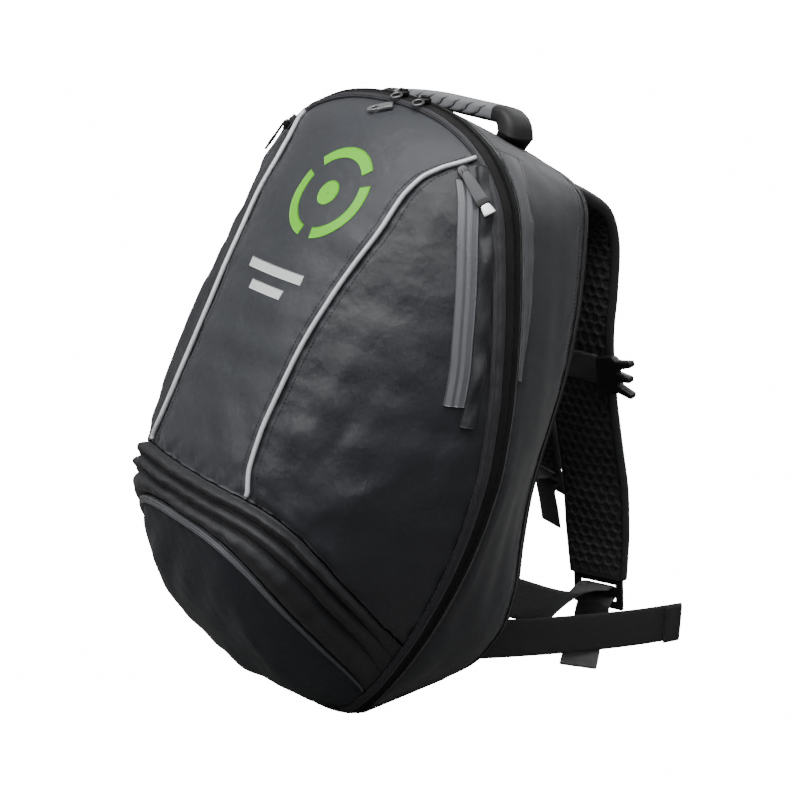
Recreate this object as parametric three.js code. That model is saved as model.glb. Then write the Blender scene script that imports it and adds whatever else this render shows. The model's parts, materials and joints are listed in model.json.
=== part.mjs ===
// Motorcycle backpack: a domed front shell and a cloth gusset meet along an arched
// main zip, and a padded back carries two shoulder straps. Millimetres, +Z up.
// The bag faces -Y and stands on its base panel, leaning back. The origin is the
// middle of the base panel, on the floor.
import * as THREE from 'three';

// Driving dimensions of the bag
const bagHeight = 497; // zip arch, from crown to base panel, along the lean
const halfWidth = 167; // zip arch, widest half width
const frontDepth = 155; // zip plane to the fullest part of the front
const gussetDepth = 70; // zip plane to the back panel
const crownDrop = 24; // fall of the gusset's crown towards the back
const leanAngle = THREE.MathUtils.degToRad(12);

// Walls, pads and clearances
const gap = 0.3; // between neighbouring pieces
const lay = 0.7; // under what lies on the cloth
const foldGap = 1; // between the panels and the ridges below them
const shellWall = 2.5;
const gussetWall = 2;
const gussetProud = 1.5; // gusset outside the sunk zip
const basePanel = 3;
const backPad = 12;
const backPadEdge = 0.6; // share of the pad left at its edge
const frontFullness = 1.42; // roundness of the shell's corners at the zip

// Zips, bindings and piping
const zipReach = 11; // width of the main zip's tape
const zipThick = 1.2;
const bindingWidth = 10; // at the sides
const bindingCrown = 4.5; // and over the crown
const bindingThick = 2.6;
const pipingRadius = 1.9;
const ridgeHeight = 5; // expansion ridges, outwards
const coatedZipWidth = 15;
const coatedZipThick = 1.4;
const pocketZipWidth = 10;
const flapThick = 1;

// Sliders and pulls
const sliderLength = 10;
const sliderWidth = 7;
const sliderThick = 3.5;
const pullLength = 28;
const pullWidth = 10;
const pullThick = 2;
const pullTip = 9; // metal end of the pull
const crownPullLength = 20;

// Carry handle
const handleBack = 50; // behind the zip plane
const handleRise = 5; // top of the grip over the crown of the zip
const gripHalf = 57;
const gripWidth = 24;
const gripThick = 12;
const gripSag = 5; // of its left end
const gripRibs = 8;
const ribHeight = 1.2;

// Shoulder straps
const strapWidth = 70;
const strapThick = 13;
const strapBow = 155; // from the back panel to the strap's furthest point
const swingBow = 1.37; // the left strap hangs further back,
const swingDrop = 0.86; // ends higher
const swingIn = 62; // and swings inwards by this much at its end

// Webbing and buckles
const webWidth = 38;
const webThick = 1.6;
const lockWidth = 50;
const lockHeight = 30;
const lockThick = 4;
const lockBar = 6.5;
const sternumWidth = 26;
const sternumLength = 52;
const buckleLength = 36;
const buckleWidth = 34;
const buckleThick = 7;
const tailWidth = 32.7; // narrowed by the ladder lock
const tailRun = 66; // right tail, along the floor
const tailDrop = 44; // left tail, hanging
const webReach = 70; // of the lower webbing, level from the lock towards the bag
const waistLength = 206;
const waistFold = 16;

// Shell sections down the zip arch: every length is a share of the named size it follows
const shellColumns = ['down', 'half', 'depth', 'full', 'rear'];
const shellRows = [
  [0.0, 0.0, 0.0, 2.0, 0.0],
  [0.006, 0.24, 0.05, 2.0, 0.39],
  [0.016, 0.39, 0.11, 2.0, 0.51],
  [0.03, 0.5, 0.18, 2.0, 0.67],
  [0.052, 0.625, 0.265, 2.0, 0.785],
  [0.08, 0.72, 0.34, 2.0, 0.83],
  [0.125, 0.815, 0.44, 2.0, 0.855],
  [0.18, 0.868, 0.54, 2.1, 0.877],
  [0.24, 0.912, 0.63, 2.2, 0.893],
  [0.3, 0.948, 0.715, 2.3, 0.897],
  [0.36, 0.975, 0.79, 2.4, 0.888],
  [0.42, 0.995, 0.86, 2.5, 0.868],
  [0.49, 1.0, 0.94, 2.6, 0.842],
  [0.57, 0.972, 1.01, 2.85, 0.825],
  [0.645, 0.922, 1.035, 3.2, 0.832],
  [0.72, 0.85, 0.99, 3.4, 0.849],
  [0.795, 0.76, 0.87, 3.4, 0.83],
  [0.87, 0.65, 0.68, 3.3, 0.745],
  [0.91, 0.582, 0.545, 3.2, 0.677],
  [0.95, 0.508, 0.38, 3.1, 0.585],
  [0.98, 0.446, 0.25, 3.0, 0.505],
  [1.0, 0.4, 0.15, 3.0, 0.45],
];

// Silver piping down the front: where it lies across the shell at each height
const pipingColumns = ['down', 'across'];
const pipingRows = [
  [0.0, 1.0],
  [0.05, 0.985],
  [0.065, 0.875],
  [0.084, 0.71],
  [0.104, 0.605],
  [0.134, 0.54],
  [0.179, 0.505],
  [0.241, 0.44],
  [0.285, 0.405],
  [0.362, 0.36],
  [0.422, 0.345],
  [0.481, 0.34],
  [0.534, 0.355],
  [0.572, 0.392],
];

// Lines that ring the lower front, in columns: height at the middle, fall towards the zip
// and sharpness of the turn
const ringRows = [
  [0.582, 0.27, 4.6],
  [0.603, 0.28, 4.7],
  [0.624, 0.305, 4.5],
  [0.647, 0.345, 3.3],
];

// Side pocket zip: where it lies across the shell at each height
const sideZipColumns = ['down', 'across'];
const sideZipRows = [
  [0.088, 0.83],
  [0.15, 0.85],
  [0.2, 0.868],
  [0.25, 0.882],
  [0.305, 0.893],
  [0.365, 0.903],
  [0.4, 0.904],
];

// Rain flap: how far back over the gusset it reaches at each height, a share of gussetDepth
const flapColumns = ['down', 'reach'];
const flapRows = [
  [0.052, 0.27],
  [0.08, 0.21],
  [0.125, 0.18],
  [0.18, 0.18],
  [0.24, 0.17],
  [0.3, 0.1],
  [0.36, 0.04],
];

// Shoulder strap: back is a share of strapBow, down of bagHeight, mid of halfWidth,
// width of strapWidth, and turn is a share of a right angle about the strap's own line
const strapColumns = ['back', 'down', 'mid', 'width', 'turn'];
const strapRows = [
  [0.006, 0.094, 0.39, 1.0, 0.0],
  [0.25, 0.113, 0.39, 1.0, 0.0],
  [0.43, 0.137, 0.39, 1.0, 0.0],
  [0.53, 0.181, 0.395, 1.0, 0.0],
  [0.587, 0.264, 0.407, 1.0, 0.0],
  [0.613, 0.346, 0.42, 1.0, 0.02],
  [0.71, 0.453, 0.443, 1.0, 0.04],
  [0.8, 0.539, 0.473, 0.99, 0.07],
  [0.897, 0.63, 0.51, 0.97, 0.1],
  [0.961, 0.72, 0.545, 0.93, 0.11],
  [1.0, 0.805, 0.587, 0.82, 0.12],
];

/** Monotone cubic curve through one column of a table, against its first column. */
function curveOf(rows, columns, name) {
  const at = columns.indexOf(name);
  const x = rows.map((row) => row[0]);
  const y = rows.map((row) => row[at]);
  const last = x.length - 1;
  const steep = [];
  for (let i = 0; i < last; i += 1) {
    steep.push((y[i + 1] - y[i]) / (x[i + 1] - x[i]));
  }
  const slope = x.map((unused, i) => {
    if (i === 0) return steep[0];
    if (i === last) return steep[last - 1];
    if (steep[i - 1] * steep[i] <= 0) return 0;
    return (2 * steep[i - 1] * steep[i]) / (steep[i - 1] + steep[i]);
  });
  return (value) => {
    const v = THREE.MathUtils.clamp(value, x[0], x[last]);
    let i = 0;
    while (i < last - 1 && v > x[i + 1]) i += 1;
    const step = x[i + 1] - x[i];
    const t = (v - x[i]) / step;
    const rise = y[i] * (2 * t ** 3 - 3 * t ** 2 + 1) + y[i + 1] * (3 * t ** 2 - 2 * t ** 3);
    return rise + step * (slope[i] * (t ** 3 - 2 * t ** 2 + t) + slope[i + 1] * (t ** 3 - t ** 2));
  };
}

const [halfAt, depthAt, fullAt, rearAt] = ['half', 'depth', 'full', 'rear'].map((name) =>
  curveOf(shellRows, shellColumns, name),
);
const pipingAt = curveOf(pipingRows, pipingColumns, 'across');
const sideZipAt = curveOf(sideZipRows, sideZipColumns, 'across');
const flapAt = curveOf(flapRows, flapColumns, 'reach');
const stations = shellRows.map((row) => row[0]);
const pipingTop = pipingRows[1][0];
const pipingStart = 0.0652; // where it comes out from under the binding
const pipingFoot = pipingRows[pipingRows.length - 1];

// Places of the frame, all in the leaning bag: x to the right, v back from the zip, w up
const sinLean = Math.sin(leanAngle);
const cosLean = Math.cos(leanAngle);
const seat = basePanel + gap;
const backFace = gussetDepth + gap;
const padFace = backFace + backPad;
const baseFront = frontDepth * depthAt(1);
const baseMiddle = (padFace - baseFront) / 2;
const heart = new THREE.Vector3(0, 0, -bagHeight / 2);

/** World place of a point of the leaning bag, never lower than the given floor. */
function place(point, floor = seat) {
  const { x, y: v, z: w } = point;
  const up = (w + bagHeight) * cosLean - v * sinLean + seat;
  const back = v * cosLean + (w + bagHeight) * sinLean - baseMiddle / cosLean;
  return new THREE.Vector3(x, back, Math.max(up, floor));
}

/** Point of the front shell: down the arch, and across from -1 to 1. */
function frontPoint(down, across) {
  const s = THREE.MathUtils.clamp(across, -1, 1);
  const section = (1 - Math.abs(s) ** fullAt(down)) ** (1 / frontFullness);
  const v = -frontDepth * depthAt(down) * section;
  const w = -bagHeight * down + v * Math.tan(leanAngle) * down ** 6;
  return new THREE.Vector3(halfWidth * halfAt(down) * s, v, w);
}

/** Length of the front shell's cloth for each unit across, near a place on it. */
function stretchAcross(down, across) {
  const step = 0.01;
  return frontPoint(down, across + step).distanceTo(frontPoint(down, across - step)) / (2 * step);
}

/** Point of the gusset: along the arch from -1 at the left foot to 1, share 0 at the zip. */
function gussetPoint(along, share) {
  const down = Math.abs(along);
  const half = halfAt(down) * (1 - share) + rearAt(down) * share;
  const v = gussetDepth * share;
  const height = bagHeight - crownDrop * share;
  const w = -bagHeight + height * (1 - down) + v * Math.tan(leanAngle) * down ** 6;
  return new THREE.Vector3(Math.sign(along) * halfWidth * half, v, w);
}

/** Outward unit normal of a surface of the bag at two of its parameters. */
function normalAt(surface, a, b, range) {
  const step = 0.002;
  const [aLow, aHigh] = [Math.max(a - step, range[0]), Math.min(a + step, range[1])];
  const [bLow, bHigh] = [Math.max(b - step, range[2]), Math.min(b + step, range[3])];
  const alongA = surface(aHigh, b).sub(surface(aLow, b));
  const alongB = surface(a, bHigh).sub(surface(a, bLow));
  const normal = alongA.cross(alongB).normalize();
  const outward = surface(a, b).sub(heart);
  return normal.dot(outward) < 0 ? normal.negate() : normal;
}

const frontRange = [0, 1, -1, 1];
const gussetRange = [-1, 1, 0, 1];

/** Point at a height over the front shell. */
function overFront(down, across, height) {
  const normal = normalAt(frontPoint, down, across, frontRange);
  return frontPoint(down, across).addScaledVector(normal, height);
}

/** Point at a height over the gusset, straight out from the arch. */
function overGusset(along, share, height) {
  const normal = normalAt(gussetPoint, along, share, gussetRange).setY(0).normalize();
  return gussetPoint(along, share).addScaledVector(normal, height);
}

/** Front shell place that lies a given reach inside the zip arch, found by halving. */
function insideArch(along, reach) {
  const down = Math.abs(along);
  const side = along < 0 ? -1 : 1;
  const rim = (at) => gussetPoint(side * THREE.MathUtils.clamp(at, 0, 1), 0);
  const edge = rim(down);
  const run = rim(down + 0.004).sub(rim(down - 0.004));
  const inward = new THREE.Vector2(run.z, -run.x).normalize().multiplyScalar(side);
  if (down < 0.002) inward.set(0, -1);
  const found = (k) => {
    const at = THREE.MathUtils.clamp(down - (inward.y * k) / bagHeight, 0, 1);
    const half = Math.max(halfWidth * halfAt(at), 1);
    return [at, THREE.MathUtils.clamp((edge.x + inward.x * k) / half, -1, 1)];
  };
  let low = 0;
  let high = 60;
  for (let turn = 0; turn < 40; turn += 1) {
    const k = (low + high) / 2;
    if (frontPoint(...found(k)).distanceTo(edge) < reach) low = k;
    else high = k;
  }
  return found(low);
}

/** Numbers from start to end in even steps, both included. */
function steps(start, end, count) {
  return Array.from({ length: count + 1 }, (unused, i) => start + ((end - start) * i) / count);
}

/** Places across from -1 to 1 that crowd towards both ends. */
function crowded(count) {
  return steps(-1, 1, count).map((t) => Math.sin((t * Math.PI) / 2));
}

/** Closed body from its triangles, with the faces turned outwards. */
function closedBody(points, faces) {
  let volume = 0;
  for (const [a, b, c] of faces) {
    volume += points[a].dot(points[b].clone().cross(points[c]));
  }
  const turned = volume < 0 ? faces.map(([a, b, c]) => [a, c, b]) : faces;
  const geometry = new THREE.BufferGeometry().setFromPoints(points);
  geometry.setIndex(turned.flat());
  return geometry;
}

/** Wall between an outer and an inner grid of points, each a list of rows. */
function wallBetween(outer, inner) {
  const rows = outer.length;
  const columns = outer[0].length;
  const points = [...outer.flat(), ...inner.flat()];
  const top = (i, j) => i * columns + j;
  const under = (i, j) => rows * columns + top(i, j);
  const faces = [];
  const quad = (a, b, c, d) => faces.push([a, b, c], [a, c, d]);
  for (let i = 0; i < rows - 1; i += 1) {
    for (let j = 0; j < columns - 1; j += 1) {
      quad(top(i, j), top(i + 1, j), top(i + 1, j + 1), top(i, j + 1));
      quad(under(i, j), under(i, j + 1), under(i + 1, j + 1), under(i + 1, j));
    }
    quad(top(i, 0), under(i, 0), under(i + 1, 0), top(i + 1, 0));
    quad(top(i, columns - 1), top(i + 1, columns - 1), under(i + 1, columns - 1), under(i, columns - 1));
  }
  for (let j = 0; j < columns - 1; j += 1) {
    quad(top(0, j), top(0, j + 1), under(0, j + 1), under(0, j));
    quad(top(rows - 1, j), under(rows - 1, j), under(rows - 1, j + 1), top(rows - 1, j + 1));
  }
  return closedBody(points, faces);
}

/** Wall over a surface of the bag: heights over it are given for each row and column. */
function clothWall(over, spots, topHeight, underHeight, floor = seat) {
  const grid = (height) =>
    spots.map((row, i) => row.map(([a, b], j) => place(over(a, b, height(i, j)), floor)));
  return wallBetween(grid(topHeight), grid(underHeight));
}

/** Solid through rings of world points with closed ends. A ring's second half is cut the other
 * way, so that the two faces of a thin band stay parallel where it twists. */
function loft(rings) {
  const count = rings[0].length;
  const points = rings.flat();
  const faces = [];
  for (let i = 0; i < rings.length - 1; i += 1) {
    for (let j = 0; j < count; j += 1) {
      const a = i * count + j;
      const b = i * count + ((j + 1) % count);
      if (j < count / 2) faces.push([a, b, b + count], [a, b + count, a + count]);
      else faces.push([a, b, a + count], [b, b + count, a + count]);
    }
  }
  const end = (rings.length - 1) * count;
  for (let j = 1; j < count - 1; j += 1) {
    faces.push([0, j + 1, j], [end, end + j, end + j + 1]);
  }
  return closedBody(points, faces);
}

/** Ring of a flat band: rounded where the corner share is above nought. */
function bandRing(centre, across, normal, width, thick, corner = 0) {
  const spots = corner > 0
    ? [[-1, -corner], [-1 + corner, -1], [1 - corner, -1], [1, -corner], [1, corner], [1 - corner, 1],
      [-1 + corner, 1], [-1, corner]]
    : [[-1, -1], [1, -1], [1, 1], [-1, 1]];
  return spots.map(([a, b]) =>
    centre
      .clone()
      .addScaledVector(across, (a * width) / 2)
      .addScaledVector(normal, (b * thick) / 2),
  );
}

/** Band along a smooth line: its width follows the given directions. */
function band(centres, acrosses, widths, thick, count, corner = 0) {
  const line = new THREE.CatmullRomCurve3(centres, false, 'centripetal');
  const last = centres.length - 1;
  const onFloor = (point) => point.setZ(Math.max(point.z, 0));
  const rings = steps(0, 1, count).map((t) => {
    const i = Math.min(Math.floor(t * last), last - 1);
    const part = t * last - i;
    const tangent = line.getTangent(t);
    const across = acrosses[i].clone().lerp(acrosses[i + 1], part);
    across.addScaledVector(tangent, -across.dot(tangent)).normalize();
    const normal = tangent.clone().cross(across);
    const width = THREE.MathUtils.lerp(widths[i], widths[i + 1], part);
    return bandRing(line.getPoint(t), across, normal, width, thick, corner).map(onFloor);
  });
  return loft(rings);
}

/** Direction in the world of a direction in the leaning bag. */
function turnToWorld(x, v, w) {
  return new THREE.Vector3(x, v * cosLean + w * sinLean, w * cosLean - v * sinLean).normalize();
}

const bag = new THREE.Group();

/** Adds one named piece. */
function add(name, geometry, colour, roughness, metalness = 0) {
  const material = new THREE.MeshStandardMaterial({ color: colour, roughness, metalness });
  const mesh = new THREE.Mesh(geometry, material);
  mesh.name = name;
  bag.add(mesh);
  return mesh;
}

const coated = 0x3c3f46;
const darkCloth = 0x24262a;
const airMesh = 0x141417;
const webbing = 0x4a4b4d;
const plastic = 0x151516;
const silver = 0xb9bcc2;
const zipCoat = 0x77797f;
const sides = [['left', -1], ['right', 1]];

// Centre front panel, from the crown down to the first ridge, between the pipings
const frontAcross = crowded(16);
const edgeGap = gap / (2 * halfWidth);
const ringGap = gap / (2 * bagHeight);

/** Height share of one ring line at a place across the shell. */
function ringLine(index, across) {
  const [middle, fall, turn] = ringRows[index];
  return middle + fall * Math.abs(across) ** turn;
}

const panelTop = stations[1];
const slantFrom = 0.49; // below this height the rows slant down to the first ridge
const slantSteps = steps(0, 1, 5).slice(1);
const crownDowns = [0.011, 0.022, 0.04]; // extra rows where the crown turns most
const straightDowns = [...stations, ...crownDowns]
  .filter((down) => down >= panelTop && down <= slantFrom)
  .sort((a, b) => a - b);

/** Heights of a panel's rows above the first ridge, at a place across the shell. */
function panelDowns(straight, across) {
  const foot = ringLine(0, across) - foldGap / bagHeight;
  return [...straight, ...slantSteps.map((t) => THREE.MathUtils.lerp(slantFrom, foot, t))];
}

const rowCount = straightDowns.length + slantSteps.length;
const frontSpots = Array.from({ length: rowCount }, (unused, i) =>
  frontAcross.map((u) => {
    const down = panelDowns(straightDowns, u * pipingFoot[1])[i];
    const edge = down <= pipingTop ? 1 : pipingAt(down);
    return [down, u * (edge - edgeGap)];
  }),
);
add('front_panel', clothWall(overFront, frontSpots, () => 0, () => -shellWall), coated, 0.55);

// Side pocket panels, from the piping to the zip arch
const sideAcross = steps(0, 1, 8).map((t) => Math.sin((t * Math.PI) / 2));
const sideDowns = straightDowns.filter((down) => down > pipingTop);
for (const [name, side] of sides) {
  const spots = Array.from({ length: sideDowns.length + slantSteps.length }, (unused, i) =>
    sideAcross.map((u) => {
      const down = panelDowns(sideDowns, THREE.MathUtils.lerp(pipingFoot[1], 1, u))[i];
      return [down, side * THREE.MathUtils.lerp(pipingAt(down) + edgeGap, 1, u)];
    }),
  );
  add(`side_panel_${name}`, clothWall(overFront, spots, () => 0, () => -shellWall), coated, 0.55);
}

// Piping on the seams beside the centre panel
const pipingSpots = [[pipingStart, pipingAt(pipingStart)], ...pipingRows.slice(2)];
for (const [name, side] of sides) {
  const centres = pipingSpots.map(([down, across]) =>
    place(overFront(down, side * across, pipingRadius + lay)),
  );
  const line = new THREE.CatmullRomCurve3(centres, false, 'centripetal');
  const round = new THREE.Shape().absarc(0, 0, pipingRadius, 0, Math.PI * 2, false);
  const tube = new THREE.ExtrudeGeometry(round, { steps: 26, curveSegments: 4, extrudePath: line });
  add(`piping_${name}`, tube, silver, 0.3, 0.3);
}

// Three expansion ridges round the lower front
const ringAcross = crowded(20);
const ridgeSteps = [0, 0.28, 0.72, 1];
const ridgeEnd = 0.95; // the ridges run out before the binding
for (let index = 0; index < 3; index += 1) {
  const spots = ridgeSteps.map((t) =>
    ringAcross.map((s) => {
      const high = ringLine(index, s) + ringGap;
      const low = ringLine(index + 1, s) - ringGap;
      return [THREE.MathUtils.lerp(high, low, t), s];
    }),
  );
  const swell = (i, j) => {
    const fade = THREE.MathUtils.smoothstep(ridgeEnd - Math.abs(ringAcross[j]), 0, 0.12);
    return ridgeHeight * fade * Math.sin(ridgeSteps[i] * Math.PI) ** 0.7;
  };
  const wall = clothWall(overFront, spots, swell, () => -shellWall);
  add(`expansion_ridge_${index + 1}`, wall, darkCloth, 0.6);
}

// Bottom pocket, with its coated zip along the top edge
const pocketSpots = steps(0, 1, 6).map((t) =>
  ringAcross.map((s) => [THREE.MathUtils.lerp(ringLine(3, s) + ringGap, 1, t), s]),
);
add('bottom_pocket', clothWall(overFront, pocketSpots, () => 0, () => -shellWall), darkCloth, 0.55);
const pocketZipSpots = [0.1, 1].map((t) =>
  ringAcross.slice(3, -3).map((s) => [ringLine(3, s) + (t * pocketZipWidth * (1 - 0.6 * s ** 4)) / bagHeight, s]),
);
const overCloth = (thick) => [() => lay + thick, () => lay];
add('bottom_pocket_zip', clothWall(overFront, pocketZipSpots, ...overCloth(coatedZipThick)), zipCoat, 0.35);

// Main zip and the padded binding inside it, both round the whole arch
const archAlong = [...stations.slice(1).map((down) => -down).reverse(), 0, ...stations.slice(1)];
const archSpots = (reaches) =>
  archAlong.map((along) => reaches.map((reach) => insideArch(along, reach)));
const zipSpots = archSpots([0.2, zipReach / 2, zipReach]);
add('main_zip', clothWall(overFront, zipSpots, ...overCloth(zipThick)), plastic, 0.5);
const bindingSpots = archAlong.map((along) => {
  const spread = THREE.MathUtils.smoothstep(Math.abs(along), 0.06, 0.14);
  const width = THREE.MathUtils.lerp(bindingCrown, bindingWidth, spread);
  return [gap, width / 2, width].map((reach) => insideArch(along, zipReach + reach));
});
const bindingSwell = (i, j) => lay + bindingThick * (j === 1 ? 1 : 0.55);
add('edge_binding', clothWall(overFront, bindingSpots, bindingSwell, () => lay), darkCloth, 0.6);

// Gusset behind the zip, an open arch from foot to foot
const gussetShares = [gap / gussetDepth, 0.3, 0.65, 1];
const gussetSpots = archAlong.map((along) => gussetShares.map((share) => [along, share]));
const gussetTop = () => gussetProud;
add('gusset', clothWall(overGusset, gussetSpots, gussetTop, () => gussetProud - gussetWall), coated, 0.55);

// Rain flaps that lie on the gusset beside the zip, a crescent on each side
const flapDowns = stations.filter((down) => down >= flapRows[0][0] && down <= flapRows.at(-1)[0]);
for (const [name, side] of sides) {
  const spots = flapDowns.map((down) => {
    const far = flapAt(down);
    return [0.015, far / 2, far].map((share) => [side * down, share]);
  });
  if (side < 0) spots.reverse();
  const high = gussetProud + lay + gap / 2;
  add(`rain_flap_${name}`, clothWall(overGusset, spots, () => high + flapThick, () => high), coated, 0.5);
}

// Side pocket zips and their sliders
const sideZipDowns = [0.098, ...stations.filter((down) => down > 0.1 && down < 0.4), 0.4];
for (const [name, side] of sides) {
  const spots = sideZipDowns.map((down) => {
    const middle = sideZipAt(down);
    const half = coatedZipWidth / 2 / stretchAcross(down, middle);
    return [-half, 0, half].map((shift) => [down, side * (middle + shift)]);
  });
  const zip = clothWall(overFront, spots, ...overCloth(coatedZipThick));
  add(`side_zip_${name}`, zip, zipCoat, 0.35);
}

/** Directions of a block that runs along one way over a surface. */
function blockFrame(along, normal) {
  const across = normal.clone().cross(along).normalize();
  return { across, up: along.clone().cross(across).normalize() };
}

/** Small block on a surface, long way along the given direction. */
function block(centre, along, normal, length, width, thick, corner = 0.35) {
  const { across, up } = blockFrame(along, normal);
  const rings = [-1, 1].map((end) =>
    bandRing(centre.clone().addScaledVector(along, (end * length) / 2), across, up, width, thick, corner),
  );
  return loft(rings);
}

/** World place and outward direction over the front shell. */
function spotOnFront(down, across, height) {
  const normal = normalAt(frontPoint, down, across, frontRange);
  return [place(overFront(down, across, height)), turnToWorld(normal.x, normal.y, normal.z)];
}

const sideSliderDown = 0.088;
const pullFoot = [0.134, 0.92];
for (const [name, side] of sides) {
  const zipTop = lay + coatedZipThick + 1.5 * gap;
  const [from, normal] = spotOnFront(sideSliderDown, side * sideZipAt(sideSliderDown), zipTop + gap + sliderThick / 2);
  const [to] = spotOnFront(pullFoot[0], side * pullFoot[1], zipTop + gap + sliderThick / 2);
  const along = to.clone().sub(from).normalize();
  add(`side_slider_${name}`, block(from, along, normal, sliderLength, sliderWidth, sliderThick), plastic, 0.35, 0.4);
  const pullHeight = sliderThick / 2 + gap + pullThick / 2;
  const { up } = blockFrame(along, normal);
  const middle = from.clone().addScaledVector(along, pullLength / 2).addScaledVector(up, pullHeight);
  add(`side_pull_${name}`, block(middle, along, normal, pullLength, pullWidth, pullThick), plastic, 0.4);
  const tip = middle.clone().addScaledVector(along, (pullLength + pullTip) / 2 + gap);
  add(`side_pull_tip_${name}`, block(tip, along, normal, pullTip, pullWidth, pullThick), silver, 0.25, 0.9);
}

// Sliders of the main zip, side by side at the crown, and the silver pull before them
const crownSlots = [['left', 0.0008], ['right', 0.0042]];
for (const [name, along] of crownSlots) {
  const [down, across] = insideArch(along, zipReach / 2);
  const [centre, normal] = spotOnFront(down, across, lay + zipThick + gap + sliderThick / 2);
  const way = new THREE.Vector3(1, 0, 0);
  add(`main_slider_${name}`, block(centre, way, normal, sliderLength, sliderWidth, sliderThick), plastic, 0.35, 0.4);
}
const [pullHead] = spotOnFront(0.018, 0.145, lay + pullThick / 2);
const [pullEnd] = spotOnFront(0.032, -0.065, lay + pullThick / 2);
const [pullCentre, pullNormal] = spotOnFront(0.025, 0.03, lay + pullThick / 2);
const pullWay = pullEnd.sub(pullHead).normalize();
const crownPull = block(pullCentre, pullWay, pullNormal, crownPullLength, pullWidth * 0.8, pullThick);
add('crown_pull', crownPull, silver, 0.3, 0.8);

// Base panel on the floor, under the shell and the back
const shellFoot = steps(-1, 1, 16).map((s) => frontPoint(1, s));
const rearHalf = halfWidth * rearAt(1) + gussetProud;
const baseOutline = [
  ...shellFoot.map(({ x, y }) => new THREE.Vector2(x * 1.01, y)),
  new THREE.Vector2(rearHalf, padFace),
  new THREE.Vector2(-rearHalf, padFace),
].map(({ x, y }) => new THREE.Vector2(x, (y - baseMiddle) / cosLean));
const baseShape = new THREE.ExtrudeGeometry(new THREE.Shape(baseOutline), { depth: basePanel, bevelEnabled: false });
add('base_panel', baseShape, darkCloth, 0.7);

// Padded back panel behind the gusset
const padAcross = steps(-1, 1, 8);
const padRows = stations.slice(1);
const padPoint = (down, u, thickness) => {
  const x = (halfWidth * rearAt(down) + gussetProud) * u;
  const v = backFace + thickness;
  const height = bagHeight - crownDrop;
  return place(new THREE.Vector3(x, v, -bagHeight + height * (1 - down) + v * Math.tan(leanAngle) * down ** 6));
};
const padThick = (down, u) => backPad * (1 - (1 - backPadEdge) * Math.max(u ** 6, Math.abs(2 * down - 1) ** 12));
const padOuter = padRows.map((down) => padAcross.map((u) => padPoint(down, u, padThick(down, u))));
const padInner = padRows.map((down) => padAcross.map((u) => padPoint(down, u, 0)));
add('back_panel', wallBetween(padOuter, padInner), airMesh, 0.9);

// Carry handle: a ribbed grip between two ends that come down onto the gusset
const backwards = new THREE.Vector3(0, 1, 0);
const upwards = new THREE.Vector3(0, 0, 1);
const gripMiddle = handleRise - gripThick / 2;
const ribPitch = (2 * gripHalf) / gripRibs;
const ribParts = [[0, 0], [0.3, 0], [0.38, ribHeight], [0.92, ribHeight]]; // along the pitch, and outwards
const handleCorner = 0.45;
const placed = (rings) => rings.map((ring) => ring.map((point) => place(point)));

/** How far the grip hangs below its middle at a place along it. */
function sagAt(x) {
  return gripSag * (Math.min(x, 0) / gripHalf) ** 2;
}

/** Ring of the grip at a distance from its middle. */
function gripRing(x, grow) {
  const centre = new THREE.Vector3(x, handleBack, gripMiddle - sagAt(x));
  return bandRing(centre, backwards, upwards, gripWidth + grow, gripThick + grow, handleCorner);
}

const gripRings = steps(-gripHalf, gripHalf - ribPitch, gripRibs - 1).flatMap((start) =>
  ribParts.map(([part, grow]) => gripRing(start + part * ribPitch, grow)),
);
gripRings.push(gripRing(gripHalf, 0));
add('handle_grip', loft(placed(gripRings)), plastic, 0.8);

/** Height of the gusset's top at a place, found by halving. */
function gussetHeight(x, v) {
  let low = 0;
  let high = 0.2;
  for (let turn = 0; turn < 30; turn += 1) {
    const down = (low + high) / 2;
    if (gussetPoint(down, v / gussetDepth).x < Math.abs(x)) low = down;
    else high = down;
  }
  return overGusset(low, v / gussetDepth, gussetProud).z;
}

// Side view of the handle's end, from the grip to its foot: how far out its outer and inner
// line lie, and how far down, in shares of the drop to the gusset
const endRows = [
  [[0, 0], [0, 0]],
  [[9, 0.02], [3.5, 0.03]],
  [[18, 0.16], [5, 0.08]],
  [[24.5, 0.43], [6, 0.14]],
  [[27.5, 0.79], [7, 0.2]],
];
const footRow = [[20, 1], [8, 1]];
const endGrow = 5; // of the handle's width, from the grip to the foot
const footInset = 2; // of the foot from the gusset's edges
for (const [name, side] of sides) {
  const start = side * (gripHalf + gap);
  const top = handleRise - sagAt(start);
  const drop = top - gussetHeight(start + side * footRow[0][0], handleBack);
  const ringOf = ([[outX, outDown], [inX, inDown]], width) => {
    const outer = new THREE.Vector3(start + side * outX, handleBack, top - outDown * drop);
    const innerFall = gripThick + inDown * (drop - gripThick);
    const inner = new THREE.Vector3(start + side * inX, handleBack, top - innerFall);
    const middle = outer.clone().add(inner).divideScalar(2);
    const thick = outer.distanceTo(inner);
    return bandRing(middle, backwards, outer.sub(inner).normalize(), width, thick, handleCorner);
  };
  const rings = endRows.map((row, i) => ringOf(row, gripWidth + (endGrow * i) / (endRows.length - 1)));
  const foot = ringOf(footRow, gripWidth + endGrow).map(({ x, y }) => {
    const back = THREE.MathUtils.clamp(y, footInset, gussetDepth - footInset);
    return new THREE.Vector3(x, back, gussetHeight(x, back) + lay);
  });
  add(`handle_end_${name}`, loft(placed([...rings, foot])), plastic, 0.8);
}

// Shoulder straps: padded ribbons that leave the back panel near its top
const strapOf = (column) => strapColumns.indexOf(column);

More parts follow.
